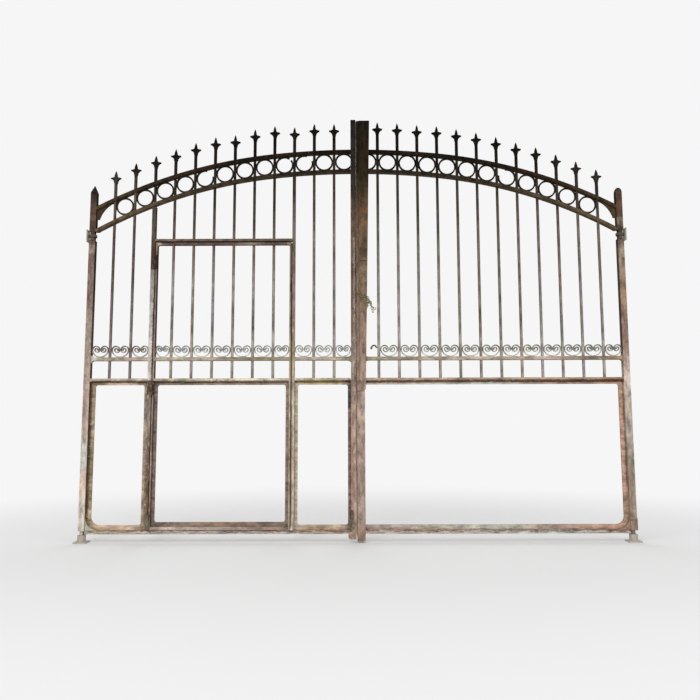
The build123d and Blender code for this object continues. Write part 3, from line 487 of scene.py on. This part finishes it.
# (places along the gate, heights, paint chip, amount, softness, raggedness, spots per metre).
# None stands for the whole member.
LEFT_HEEL_MARKS = (
    (None, (2.2, 2.28), (88, 64, 50), 0.5, 0.01, 0.02, 40.0),
    (None, (1.93, 1.99), (168, 152, 138), 0.6, 0.01, 0.02, 50.0),
    (None, (2.04, 2.16), (58, 50, 42), 0.7, 0.02, 0.01, 40.0),
    (None, (0.52, 0.66), (206, 204, 198), 0.5, 0.03, 0.03, 40.0),
    (None, (0.34, 0.46), (206, 176, 162), 0.5, 0.03, 0.03, 40.0),
)
RIGHT_HEEL_MARKS = (
    (None, (2.2, 2.3), (94, 65, 50), 0.5, 0.02, 0.02, 40.0),
    (None, (2.1, 2.17), (150, 140, 118), 0.45, 0.004, 0.03, 70.0),
    (None, (2.0, 2.1), (66, 60, 50), 0.7, 0.02, 0.02, 50.0),
    (None, (1.9, 1.97), (158, 148, 130), 0.55, 0.02, 0.02, 60.0),
    (None, (0.95, 1.12), (196, 186, 178), 0.5, 0.03, 0.03, 60.0),
    (None, (0.48, 0.56), (110, 118, 98), 0.5, 0.01, 0.03, 50.0),
    (None, (0.139, 0.145), (84, 68, 56), 0.8, 0.002, 0.002, 60.0),
    (None, (0.03, 0.139), (132, 112, 96), 0.5, 0.005, 0.01, 60.0),
)
LEFT_MEETING_MARKS = (
    ((1.7815, 1.7925), (0.5, 2.04), (182, 166, 154), 0.5, 0.002, 0.001, 60.0),
    ((1.7825, 1.7905), (0.9, 2.2), (70, 52, 46), 0.55, 0.001, 0.02, 90.0),
    ((1.765, 1.7745), (0.9, 2.3), (104, 80, 76), 0.55, 0.002, 0.001, 60.0),
    # Painted shadow: the dark line at the meeting edge, beside the cover strip
    ((1.7955, 1.801), (1.78, 2.9), (52, 40, 34), 0.5, 0.001, 0.001, 60.0),
    ((1.785, 1.794), (1.047, 1.167), (60, 48, 43), 0.35, 0.002, 0.01, 60.0),
)
COVER_MARKS = (
    (None, (1.8655, 1.8715), (58, 46, 36), 0.8, 0.001, 0.002, 60.0),
    ((1.8, 1.8285), (0.9, 2.05), (120, 98, 86), 0.35, 0.002, 0.002, 60.0),
    # Painted shadow: the dark line along the left edge of the cover strip
    ((1.8, 1.816), (1.2, 2.9), (60, 46, 37), 0.8, 0.002, 0.001, 60.0),
    (None, (1.9, 1.96), (62, 52, 38), 0.7, 0.01, 0.03, 40.0),
    (None, (2.2, 2.24), (112, 74, 52), 0.5, 0.01, 0.03, 40.0),
)
POST_MARKS = (
    ((0.3, 0.6), (1.817, 1.957), (86, 56, 48), 0.6, 0.02, 0.02, 40.0),
    ((0.424, 0.6), (0.95, 1.05), (48, 40, 38), 0.75, 0.004, 0.01, 50.0),
    ((0.3, 0.42), (0.76, 0.95), (104, 96, 98), 0.6, 0.006, 0.03, 70.0),
    ((0.41, 0.6), (0.08, 0.165), (62, 62, 50), 0.5, 0.01, 0.02, 50.0),
    ((0.3, 0.6), (0.17, 0.9), (96, 80, 70), 0.3, 0.01, 0.06, 70.0),
    ((0.3, 0.409), (0.1, 0.74), (178, 162, 130), 0.6, 0.003, 0.03, 60.0),
    ((0.412, 0.6), (0.13, 0.74), (100, 74, 64), 0.6, 0.003, 0.03, 60.0),
    ((0.426, 0.6), (1.1, 1.617), (90, 70, 64), 0.7, 0.002, 0.01, 110.0),
    ((1.36, 1.3735), (0.1, 1.95), (120, 92, 76), 0.6, 0.002, 0.002, 60.0),
)
MID_RAIL_MARKS = (
    (None, (1.0605, 1.08), (206, 194, 178), 0.55, 0.001, 0.003, 40.0),
    # Painted shade: the dark band along the lower edge of the rail
    (None, (1.05, 1.0595), (70, 54, 42), 0.75, 0.001, 0.003, 60.0),
    ((1.43, 1.7), (1.05, 1.0585), (132, 128, 58), 0.7, 0.002, 0.006, 60.0),
)
RIGHT_MID_MARKS = (
    (None, (1.063, 1.08), (182, 160, 144), 0.5, 0.001, 0.003, 40.0),
    # Painted shade: the dark band along the lower edge of the rail
    (None, (1.05, 1.0597), (80, 50, 36), 0.75, 0.001, 0.003, 60.0),
)
BOTTOM_RAIL_MARKS = (
    (None, (0.0695, 0.0775), (92, 64, 50), 0.65, 0.002, 0.02, 17.0),
    (None, (0.055, 0.069), (192, 192, 184), 0.7, 0.002, 0.016, 12.0),
    (None, (0.055, 0.062), (150, 108, 88), 0.5, 0.002, 0.02, 9.0),
)
LEFT_STRIP_MARKS = (
    # Painted shade: the dark band just under the mid rail
    (None, (1.045, 1.053), (66, 52, 40), 0.75, 0.001, 0.003, 60.0),
    ((1.43, 1.7), (1.04, 1.052), (140, 134, 70), 0.6, 0.002, 0.008, 50.0),
    ((1.74, 1.77), (0.877, 1.03), (72, 72, 78), 0.85, 0.004, 0.02, 50.0),
    ((1.74, 1.77), (0.1, 0.86), (132, 100, 92), 0.5, 0.004, 0.03, 70.0),
    (None, (0.078, 0.083), (108, 80, 64), 0.45, 0.002, 0.012, 17.0),
    # Painted shadow: the dark line beside the heel stile
    ((0.015, 0.034), (0.15, 1.05), (70, 54, 42), 0.7, 0.003, 0.004, 50.0),
)
RIGHT_STRIP_MARKS = (
    # Painted shade: the dark band just under the mid rail
    (None, (1.042, 1.053), (74, 48, 34), 0.75, 0.001, 0.003, 60.0),
    ((3.549, 3.571), (0.3, 1.05), (184, 148, 131), 0.75, 0.004, 0.004, 14.0),
    # Painted shadow: the dark line between the strip and the heel stile
    ((3.573, 3.59), (0.36, 1.05), (108, 82, 68), 0.6, 0.002, 0.003, 14.0),
    ((3.549, 3.565), (0.42, 0.5), (206, 184, 172), 0.6, 0.004, 0.02, 50.0),
    ((3.549, 3.59), (0.079, 0.3), (152, 132, 110), 0.7, 0.02, 0.02, 50.0),
    (None, (0.078, 0.084), (104, 74, 58), 0.5, 0.002, 0.012, 17.0),
)
SCROLL_RAIL_MARKS = (
    ((0.015, 0.055), None, (196, 194, 188), 0.7, 0.006, 0.01, 50.0),
    ((1.722, 1.77), None, (118, 126, 112), 0.7, 0.006, 0.01, 60.0),
    ((1.85, 1.905), None, (118, 120, 108), 0.7, 0.006, 0.01, 60.0),
    ((3.545, 3.59), None, (162, 146, 112), 0.5, 0.006, 0.01, 60.0),
    (None, (1.19, 1.195), (104, 80, 70), 0.5, 0.002, 0.003, 60.0),
)
LINTEL_MARKS = (
    (None, (2.0235, 2.029), (116, 106, 76), 0.7, 0.001, 0.002, 60.0),
    (None, (2.009, 2.0135), (48, 36, 34), 0.6, 0.001, 0.002, 60.0),
)
TOP_RAIL_MARKS = (
    ((0.445, 0.475), (1.985, 2.005), (200, 190, 180), 0.7, 0.002, 0.006, 60.0),
    ((1.33, 1.36), (1.97, 2.005), (176, 170, 132), 0.7, 0.002, 0.008, 70.0),
    (None, (1.999, 2.005), (52, 38, 36), 0.7, 0.001, 0.002, 60.0),
)
HOOK_MARKS = (((1.86, 1.935), (1.25, 1.31), (84, 80, 75), 0.8, 0.002, 0.002, 60.0),)
COLLAR_MARKS = (((-0.031, 3.635), (1.8, 2.3), (90, 84, 75), 1.0, 0.001, 0.0, 60.0),)
LOCK_MARKS = ((None, (0.9, 1.2), (96, 78, 70), 0.3, 0.004, 0.03, 80.0),)
ARCH_MARKS = (
    ((0.4, 0.9), None, (58, 40, 30), 0.45, 0.05, 0.1, 18.0),
    ((1.25, 1.5), None, (52, 38, 27), 0.45, 0.05, 0.1, 18.0),
    ((2.1, 2.3), None, (52, 38, 27), 0.45, 0.05, 0.1, 18.0),
    ((2.9, 3.2), None, (60, 42, 30), 0.45, 0.05, 0.1, 18.0),
)

# Amounts that several nodes share
# The arch rails' underside tones are painted light along the bottom of the rails
UPPER_ARCH_LOOK = dict(paint=0.1, rust=0.5, painted_underside_light=(58, 50, 34))
LOWER_ARCH_LOOK = dict(paint=0.1, rust=0.3, painted_underside_light=(80, 68, 52))
SCROLL_LOOK = dict(drift=0.02, paint=0.25, rust=0.3, lichen=0.15, side=0.2, under=0.2)
PIER_LOOK = dict(rust=0.1, contrast=0.4, side=0.1, under=0.1)
HINGE_LOOK = dict(paint=0.5, rust=0.6, lichen=0.3, contrast=2.0)

# node: (tones, the axis that they run along, amounts). A row's number in the table is its seed.
# side, side_low and under below set the grime and painted shade on faces that look sideways and down
FINISHES = {
    "left_heel_stile": (LEFT_HEEL, "Z", dict(paint=0.6, rust=0.3, blue=True, side=0.85,
                                             marks=LEFT_HEEL_MARKS)),
    "right_heel_stile": (RIGHT_HEEL, "Z", dict(paint=0.4, rust=0.45, side=0.8, side_low=0.0,
                                               marks=RIGHT_HEEL_MARKS)),
    "left_meeting_stile": (LEFT_MEETING, "Z", dict(paint=0.4, rust=0.45, side=0.9, marks=LEFT_MEETING_MARKS)),
    "right_meeting_stile": (RIGHT_MEETING, "Z", dict(paint=0.4, rust=0.4, side=0.9, marks=COVER_MARKS[1:2])),
    "cover_strip": (RIGHT_MEETING, "Z", dict(paint=0.3, rust=0.4, side=0.7, marks=COVER_MARKS)),
    "left_heel_side_bars": (BARS_AT_HEEL, "Z", dict(paint=0.3, rust=0.35)),
    "left_bars_over_foot_gate": (BARS_BY_FOOT_GATE, "Z", dict(paint=0.3, rust=0.35)),
    "left_meeting_side_bars": (BARS_AT_MEETING, "Z", dict(paint=0.3, rust=0.4)),
    "right_bars": (RIGHT_BARS, "Z", dict(paint=0.3, rust=0.35)),
    "foot_gate_bars": (BARS_BY_FOOT_GATE, "Z", dict(paint=0.3, rust=0.35)),
    "foot_gate_posts": (POSTS, "Z", dict(paint=0.6, rust=0.35, blue=True, side=0.85, marks=POST_MARKS)),
    "foot_gate_stiles": (WICKET, "Z", dict(paint=0.5, rust=0.45, side=0.85)),
    "left_upper_arch_rail": (UPPER_ARCH, "Z", dict(UPPER_ARCH_LOOK, marks=ARCH_MARKS[:2])),
    "right_upper_arch_rail": (UPPER_ARCH, "Z", dict(UPPER_ARCH_LOOK, marks=ARCH_MARKS[2:])),
    "left_lower_arch_rail": (LOWER_ARCH, "Z", LOWER_ARCH_LOOK),
    "right_lower_arch_rail": (LOWER_ARCH, "Z", LOWER_ARCH_LOOK),
    "left_rings": (RINGS, "Z", dict(paint=0.1, rust=0.4)),
    "right_rings": (RINGS, "Z", dict(paint=0.1, rust=0.4)),
    "foot_gate_lintel": (LINTEL, "X", dict(paint=0.3, rust=0.4, marks=LINTEL_MARKS)),
    "foot_gate_top_rail": (TOP_RAIL, "X", dict(paint=0.4, rust=0.4, marks=TOP_RAIL_MARKS)),
    "left_mid_rails": (LEFT_MID, "X", dict(paint=0.5, rust=0.3, lichen=0.5, marks=MID_RAIL_MARKS)),
    "foot_gate_mid_rail": (LEFT_MID, "X", dict(paint=0.6, rust=0.2, lichen=0.5, marks=MID_RAIL_MARKS[:2])),
    "right_mid_rail": (RIGHT_MID, "X", dict(paint=0.35, rust=0.4, lichen=0.2, marks=RIGHT_MID_MARKS)),
    "left_scroll_rails": (SCROLL_RAIL, "X", dict(paint=0.5, rust=0.3, lichen=0.3, marks=SCROLL_RAIL_MARKS)),
    "foot_gate_scroll_rail": (SCROLL_RAIL, "X", dict(paint=0.4, rust=0.3, lichen=0.45,
                                                     marks=SCROLL_RAIL_MARKS[-1:])),
    "right_scroll_rail": (SCROLL_RAIL, "X", dict(paint=0.5, rust=0.3, lichen=0.25, marks=SCROLL_RAIL_MARKS)),
    "left_scrolls": (SCROLLS, "Z", SCROLL_LOOK),
    "foot_gate_scrolls": (SCROLLS, "Z", SCROLL_LOOK),
    "right_scrolls": (SCROLLS, "Z", dict(SCROLL_LOOK, marks=HOOK_MARKS)),
    "left_bottom_rail": (LEFT_FOOT, "X", dict(paint=0.6, rust=0.5, blue=True, marks=BOTTOM_RAIL_MARKS)),
    "foot_gate_bottom_rail": (LEFT_FOOT, "X", dict(paint=0.5, rust=0.5)),
    "right_bottom_rail": (RIGHT_FOOT, "X", dict(paint=0.6, rust=0.5, blue=True, marks=BOTTOM_RAIL_MARKS)),
    "left_panel_frames": (LEFT_STRIPS, "X", dict(paint=0.5, rust=0.35, marks=LEFT_STRIP_MARKS)),
    "foot_gate_panel_frame": (FOOT_STRIPS, "X", dict(paint=0.4, rust=0.4, marks=LEFT_STRIP_MARKS[:1])),
    "right_panel_frame": (RIGHT_STRIPS, "X", dict(paint=0.5, rust=0.4, marks=RIGHT_STRIP_MARKS)),
    "left_brackets": (LEFT_BRACKETS, "Z", dict(paint=0.4, rust=0.3)),
    "right_brackets": (RIGHT_BRACKETS, "Z", dict(paint=0.3, rust=0.4)),
    "foot_steps": (HARDWARE, "Z", dict(PIER_LOOK, paint=0.2)),
    "top_collars": (HARDWARE, "Z", dict(PIER_LOOK, paint=0.1, marks=COLLAR_MARKS)),
    "foot_bolt": (FITTINGS, "Z", dict(paint=0.1, rust=0.5, lichen=0.2)),
    "foot_gate_hinges_fixed": (FITTINGS, "Z", HINGE_LOOK),
    "foot_gate_hinges_moving": (FITTINGS, "Z", HINGE_LOOK),
    "lock_plate": (LOCK_PLATE, "Z", dict(paint=0.2, rust=0.5, marks=LOCK_MARKS)),
    "foot_gate_stops": (STOPS, "Z", dict(paint=0.1, rust=0.5)),
}


class GATE_OT_finish_frame(bpy.types.Operator):
    """Give every iron node of the frame its weathered finish"""
    bl_idname = "gate.finish_frame"
    bl_label = "Finish the ironwork"

    def execute(self, context):
        for seed, (node, (stops, axis, amounts)) in enumerate(FINISHES.items(), 1):
            grain = DRAWN_ALONG if axis == "X" else DRAWN_UP
            material = weathered_iron(node + "_iron", stops, axis, grain=grain, seed=seed, **amounts)
            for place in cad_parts[node].material_slots:
                place.material = material
        return {"FINISHED"}


# ---- Modelling helpers ----

def deselect():
    bpy.ops.object.select_all(action="DESELECT")


def select_where(piece, kind, test):
    """In edit mode, select only the vertices or edges that pass a test."""
    bpy.ops.mesh.select_all(action="DESELECT")
    work = bmesh.from_edit_mesh(piece.data)
    for part in getattr(work, kind):
        part.select = test(part)
    work.select_flush(True)
    bmesh.update_edit_mesh(piece.data)


def settle(piece, name, material, body):
    """Name a finished piece, put its place in its mesh and let it ride on its body."""
    deselect()
    piece.select_set(True)
    bpy.context.view_layer.objects.active = piece
    bpy.ops.object.transform_apply(location=True, rotation=True, scale=True)
    piece.name = name
    piece.data.name = name
    piece.data.materials.clear()
    piece.data.materials.append(material)
    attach(piece, body)
    return piece


def join(parts):
    """Join parts into the first of them."""
    deselect()
    for part in parts:
        part.select_set(True)
    bpy.context.view_layer.objects.active = parts[0]
    bpy.ops.object.join()
    return parts[0]


def copy_of(part, matrix):
    """Copy with a mesh of its own, moved by matrix in its vertices."""
    twin = part.copy()
    twin.data = part.data.copy()
    bpy.context.scene.collection.objects.link(twin)
    twin.data.transform(matrix)
    return twin


# ---- Chain ----

CHAIN_SEED = 21
LINK_STEPS, WIRE_STEPS = 20, 8
MIDDLE = 1e-5
# How many radii of its wire each link lies inside the last
OVERLAP = 2.2
# How far the routes keep inside the chain's box, and how the loop droops from its hole
FRONT_INSET, BACK_INSET, END_INSET = 0.0055, 0.005, 0.006
LOOP_DROOP = (0.03, -0.026)
# Turns of the links about their route, in degrees
LOOP_ROLL, LOOP_SHAKE = 20, 12
BUNCH_ROLL, BUNCH_ROLL_STEP, BUNCH_SHAKE = 25, 30, 30

# Strands of the bunch, as steps in X and Z from the outer edge of the stile
BUNCH = (
    ((-0.072, 0.070), (-0.032, 0.040), (0.004, 0.006), (0.018, -0.030)),
    ((-0.056, 0.048), (-0.022, 0.014), (-0.002, -0.030)),
    ((-0.044, 0.058), (-0.004, 0.030), (0.016, -0.006), (0.022, -0.036)),
    ((-0.030, 0.016), (-0.016, -0.010), (-0.010, -0.044)),
    ((0.008, 0.004), (0.022, -0.040), (0.032, -0.074)),
    ((0.018, -0.028), (0.036, -0.044), (0.050, -0.050)),
)


def chain_link(look):
    """One link at the origin, long in X and flat in Z: a torus pulled out into an oval."""
    deselect()
    bpy.ops.mesh.primitive_torus_add(major_radius=look.link_width / 2 - look.wire, minor_radius=look.wire,
                                     major_segments=LINK_STEPS, minor_segments=WIRE_STEPS, location=(0, 0, 0))
    link = bpy.context.object
    pull = (look.link_length - look.link_width) / 2
    bpy.ops.object.mode_set(mode="EDIT")
    for side in (1, -1):
        select_where(link, "verts", lambda vertex: vertex.co.x * side > -MIDDLE)
        bpy.ops.transform.translate(value=(side * pull, 0, 0))
    bpy.ops.object.mode_set(mode="OBJECT")
    bpy.ops.object.shade_smooth()
    return link


def place_links(model, route, pitch, roll, shake):
    """Copies of the link along a route of points, each a quarter turn from the last."""
    made = []
    lengths = [0.0]
    for a, b in zip(route, route[1:]):
        lengths.append(lengths[-1] + (b - a).length)
    count = max(2, int(lengths[-1] / pitch))
    for index in range(count):
        at = (index + 0.5) * lengths[-1] / count
        step = max(i for i in range(len(lengths) - 1) if lengths[i] <= at)
        share = (at - lengths[step]) / (lengths[step + 1] - lengths[step])
        centre = route[step].lerp(route[step + 1], share)
        heading = (route[step + 1] - route[step]).normalized()
        turn = heading.to_track_quat("X", "Z").to_matrix().to_4x4()
        spin = Matrix.Rotation(math.radians(90 * (index % 2) + roll + random.uniform(-shake, shake)), 4, "X")
        made.append(copy_of(model, Matrix.Translation(centre) @ turn @ spin))
    return made


class GATE_OT_chain(bpy.types.Operator):
    """Hang the old chain through the meeting stile, with its bunched end in front"""
    bl_idname = "gate.chain"
    bl_label = "Chain"

    def execute(self, context):
        random.seed(CHAIN_SEED)
        look = settings("gate_chain")
        model = chain_link(look)
        lo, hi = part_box("chain")
        front, back = lo.y + FRONT_INSET, hi.y - BACK_INSET
        hole = Vector((lo.x + END_INSET, 0, hi.z - END_INSET))
        edge = Vector((hi.x - END_INSET, 0, lo.z + END_INSET))
        loop = [Vector(point) for point in (
            (hole.x, back, hole.z), (hole.x, front, hole.z),
            (hole.x + LOOP_DROOP[0], front, hole.z + LOOP_DROOP[1]),
            (edge.x, front, edge.z), (edge.x, back, edge.z), (hole.x, back, hole.z))]
        pitch = look.link_length - OVERLAP * look.wire
        links = place_links(model, loop, pitch, LOOP_ROLL, LOOP_SHAKE)
        for number, strand in enumerate(BUNCH):
            route = [Vector((edge.x + x, front, edge.z + z)) for x, z in strand]
            links += place_links(model, route, pitch, BUNCH_ROLL + BUNCH_ROLL_STEP * number, BUNCH_SHAKE)
        bpy.data.objects.remove(model)
        chain = join(links)
        steel = weathered_iron("chain_steel_worn", CHAIN, paint=0.5, rust=0.45, lichen=0.4, seed=50)
        settle(chain, "chain_links", steel, "right_leaf")
        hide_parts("chain")
        return {"FINISHED"}


# ---- Scale that narrows the meeting gap as painted shade, and flaked paint ----

SCALE_CUTS, FLAKE_CUTS = 160, 10
# How deep the scale is rooted in its edge, and how far it stays from the stile's foot and head
SCALE_ROOT, SCALE_FOOT, SCALE_HEAD = 0.001, 0.03, 0.004
# The flake's run along the rail and past its end, how far it stands out, and its depth below the top
FLAKE_LENGTH, FLAKE_PAST_END, FLAKE_STANDS_OUT, FLAKE_CRUMBLE = 0.06, 0.004, 0.0018, 0.0014
FLAKE_DEPTHS = (0.0135, 0.001)
ALONG_SHARE = 0.9
SCALE_SEED, FLAKE_SEED = 5, 3


def crumbled(lo, hi, cuts, crumble, seed):
    """Plate between two corners, cut up along its length and roughened."""
    deselect()
    bpy.ops.mesh.primitive_cube_add(size=1, location=(lo + hi) / 2)
    piece = bpy.context.object
    piece.scale = hi - lo
    bpy.ops.object.transform_apply(location=True, rotation=True, scale=True)
    length = max(range(3), key=lambda axis: hi[axis] - lo[axis])

    def runs_along(edge):
        run = edge.verts[1].co - edge.verts[0].co
        return abs(run[length]) > ALONG_SHARE * run.length

    bpy.ops.object.mode_set(mode="EDIT")
    select_where(piece, "edges", runs_along)
    bpy.ops.mesh.subdivide(number_cuts=cuts)
    bpy.ops.mesh.select_all(action="SELECT")
    bpy.ops.transform.vertex_random(offset=crumble, uniform=1.0, normal=0.0, seed=seed)
    bpy.ops.object.mode_set(mode="OBJECT")
    return piece


class GATE_OT_scale(bpy.types.Operator):
    """Dark rust scale that thickens the two meeting edges and narrows the gap between them as painted shade,
    and a flake of old paint
    """
    bl_idname = "gate.scale"
    bl_label = "Scale and flaked paint"

    def execute(self, context):
        look = settings("gate_scale")
        # The scale's dark tone stands in for the shade in the meeting gap
        rust = weathered_iron("edge_scale_iron", EDGE_SCALE_IN_GAP_SHADE, paint=0.05, rust=0.5, side=0.0, seed=60)
        for side, leaf in ((1, "left"), (-1, "right")):
            node = leaf + "_meeting_stile"
            lo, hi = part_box(node)
            face = hi.x if side == 1 else lo.x
            ends = sorted((face - side * SCALE_ROOT, face + side * (look.thickness - look.crumble)))
            low = Vector((ends[0], lo.y + look.set_back, lo.z + SCALE_FOOT))
            high = Vector((ends[1], hi.y - look.set_back, hi.z - SCALE_HEAD))
            scale = crumbled(low, high, SCALE_CUTS, look.crumble, SCALE_SEED + side)
            settle(scale, node + "_scale", rust, leaf + "_leaf")

        pale = weathered_iron("flaked_paint_iron", PAINT_FLAKE, "X", paint=0.5, rust=0.3, side=0.1, seed=61)
        lo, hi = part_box("left_mid_rails")
        low = Vector((hi.x - FLAKE_LENGTH, lo.y - FLAKE_STANDS_OUT, hi.z - FLAKE_DEPTHS[0]))
        high = Vector((hi.x + FLAKE_PAST_END, lo.y + FLAKE_STANDS_OUT, hi.z - FLAKE_DEPTHS[1]))
        flake = crumbled(low, high, FLAKE_CUTS, FLAKE_CRUMBLE, FLAKE_SEED)
        settle(flake, "mid_rail_flake", pale, "left_leaf")
        return {"FINISHED"}


# ---- Stage ----

FLOOR_SIZE, FLOOR_GREY, FLOOR_ROUGHNESS, FLOOR_SPECULAR = 60, 0.82, 0.9, 0.1
# The floor turns into the backdrop between two distances from a place near the gate
FADE_CENTRE, FADE = (MID_X, -0.3, 0), (1.2, 5.0)
SKY_STRENGTH = 0.66
AIM = (MID_X, 0, 1.3)
SENSOR_WIDTH = 36

# name: (place, width in metres, watts)
LAMPS = {
    "key": ((MID_X - 2.4, -4.5, 4.2), 3.5, 115),
    "fill": ((MID_X + 3.2, -4.0, 2.4), 3.0, 52),
    "back": ((MID_X, 4.5, 4.5), 3.5, 60),
}


def lay_floor(look):
    """Pale paper that takes the shadow and fades into the backdrop far off."""
    deselect()
    bpy.ops.mesh.primitive_plane_add(size=1, location=(MID_X, 0, 0))
    floor = bpy.context.object
    floor.name = "studio_floor"
    floor.scale = (FLOOR_SIZE, FLOOR_SIZE, 1)
    bpy.ops.object.transform_apply(location=True, rotation=True, scale=True)
    r = Recipe("studio_paper")
    r.shader.inputs["Base Color"].default_value = (FLOOR_GREY, FLOOR_GREY, FLOOR_GREY, 1)
    r.shader.inputs["Roughness"].default_value = FLOOR_ROUGHNESS
    r.shader.inputs["Specular IOR Level"].default_value = FLOOR_SPECULAR
    glow = r.add("ShaderNodeEmission", {"Color": tuple(look.backdrop), "Strength": 1.0})
    away = r.add("ShaderNodeVectorMath", {0: r.place, 1: FADE_CENTRE}, operation="DISTANCE")
    seen = r.add("ShaderNodeLightPath").outputs["Is Camera Ray"]
    cover = r.math("MULTIPLY", seen, r.band(away.outputs["Value"], *FADE))
    blend = r.add("ShaderNodeMixShader", {0: cover, 1: r.shader.outputs[0], 2: glow.outputs[0]})
    r.tree.links.new(blend.outputs[0], r.tree.nodes["Material Output"].inputs["Surface"])
    floor.data.materials.append(r.material)


def light_world(scene, look):
    """Soft white light from all round, with the backdrop's colour where the camera looks."""
    world = bpy.data.worlds.new("studio")
    scene.world = world
    world.use_nodes = True
    nodes, links = world.node_tree.nodes, world.node_tree.links
    soft = nodes["Background"]
    soft.inputs["Color"].default_value = (1, 1, 1, 1)
    soft.inputs["Strength"].default_value = SKY_STRENGTH
    plain = nodes.new("ShaderNodeBackground")
    plain.inputs["Color"].default_value = (*look.backdrop, 1)
    plain.inputs["Strength"].default_value = 1.0
    seen = nodes.new("ShaderNodeLightPath").outputs["Is Camera Ray"]
    choose = nodes.new("ShaderNodeMixShader")
    for number, source in enumerate((seen, soft.outputs[0], plain.outputs[0])):
        links.new(source, choose.inputs[number])
    links.new(choose.outputs[0], nodes["World Output"].inputs["Surface"])


def hang_lamps(scene):
    """Square lamps, turned to the middle of the gate."""
    for name, (place, size, power) in LAMPS.items():
        data = bpy.data.lights.new(name, "AREA")
        data.size = size
        data.energy = power
        lamp = bpy.data.objects.new(name, data)
        scene.collection.objects.link(lamp)
        lamp.location = place
        aim = Vector(AIM) - Vector(place)
        lamp.rotation_euler = aim.to_track_quat("-Z", "Y").to_euler()


def stand_camera(scene, look):
    """Camera in its place, looking along its yaw and pitch, and leaning by its roll."""
    lens = bpy.data.cameras.new("camera")
    lens.lens = look.lens
    lens.sensor_width = SENSOR_WIDTH
    camera = bpy.data.objects.new("camera", lens)
    scene.collection.objects.link(camera)
    level = math.cos(look.pitch)
    forward = Vector((math.sin(look.yaw) * level, math.cos(look.yaw) * level, math.sin(look.pitch)))
    right = forward.cross(Vector((0, 0, 1))).normalized()
    up = right.cross(forward)
    side = right * math.cos(look.roll) + up * math.sin(look.roll)
    turned = Matrix((side, side.cross(forward), -forward)).transposed()
    camera.location = look.camera_place
    camera.rotation_euler = turned.to_euler()
    scene.camera = camera


class GATE_OT_stage(bpy.types.Operator):
    """Floor, backdrop, soft lamps and the camera"""
    bl_idname = "gate.stage"
    bl_label = "Stage"

    def execute(self, context):
        look = settings("gate_stage")
        scene = context.scene
        lay_floor(look)
        light_world(scene, look)
        hang_lamps(scene)
        stand_camera(scene, look)
        scene.view_settings.view_transform = "Standard"
        return {"FINISHED"}


# ---- Panel and registration ----

class GATE_PT_panel(bpy.types.Panel):
    """Lists the steps in order, and their settings"""
    bl_idname = "GATE_PT_panel"
    bl_label = "Driveway gate"
    bl_space_type = "VIEW_3D"
    bl_region_type = "UI"
    bl_category = "Gate"

    def draw(self, context):
        for step in STEPS:
            self.layout.operator(step.bl_idname)
        for group in GROUPS:
            held = getattr(context.scene, group)
            for key in held.bl_rna.properties.keys():
                if key not in ("rna_type", "name"):
                    self.layout.prop(held, key)


STEPS = (GATE_OT_stage, GATE_OT_finish_frame, GATE_OT_chain, GATE_OT_scale)
GROUPS = {"gate_finish": GATE_finish_settings, "gate_chain": GATE_chain_settings,
          "gate_scale": GATE_scale_settings, "gate_stage": GATE_stage_settings}


def register():
    for kind in (*GROUPS.values(), *STEPS, GATE_PT_panel):
        bpy.utils.register_class(kind)
    for name, kind in GROUPS.items():
        setattr(bpy.types.Scene, name, PointerProperty(type=kind))


def unregister():
    for name in GROUPS:
        delattr(bpy.types.Scene, name)
    for kind in (GATE_PT_panel, *reversed(STEPS), *reversed(GROUPS.values())):
        bpy.utils.unregister_class(kind)


def main():
    register()
    bpy.ops.gate.stage()
    bpy.ops.gate.finish_frame()
    bpy.ops.gate.chain()
    bpy.ops.gate.scale()


if __name__ == "__main__":
    main()
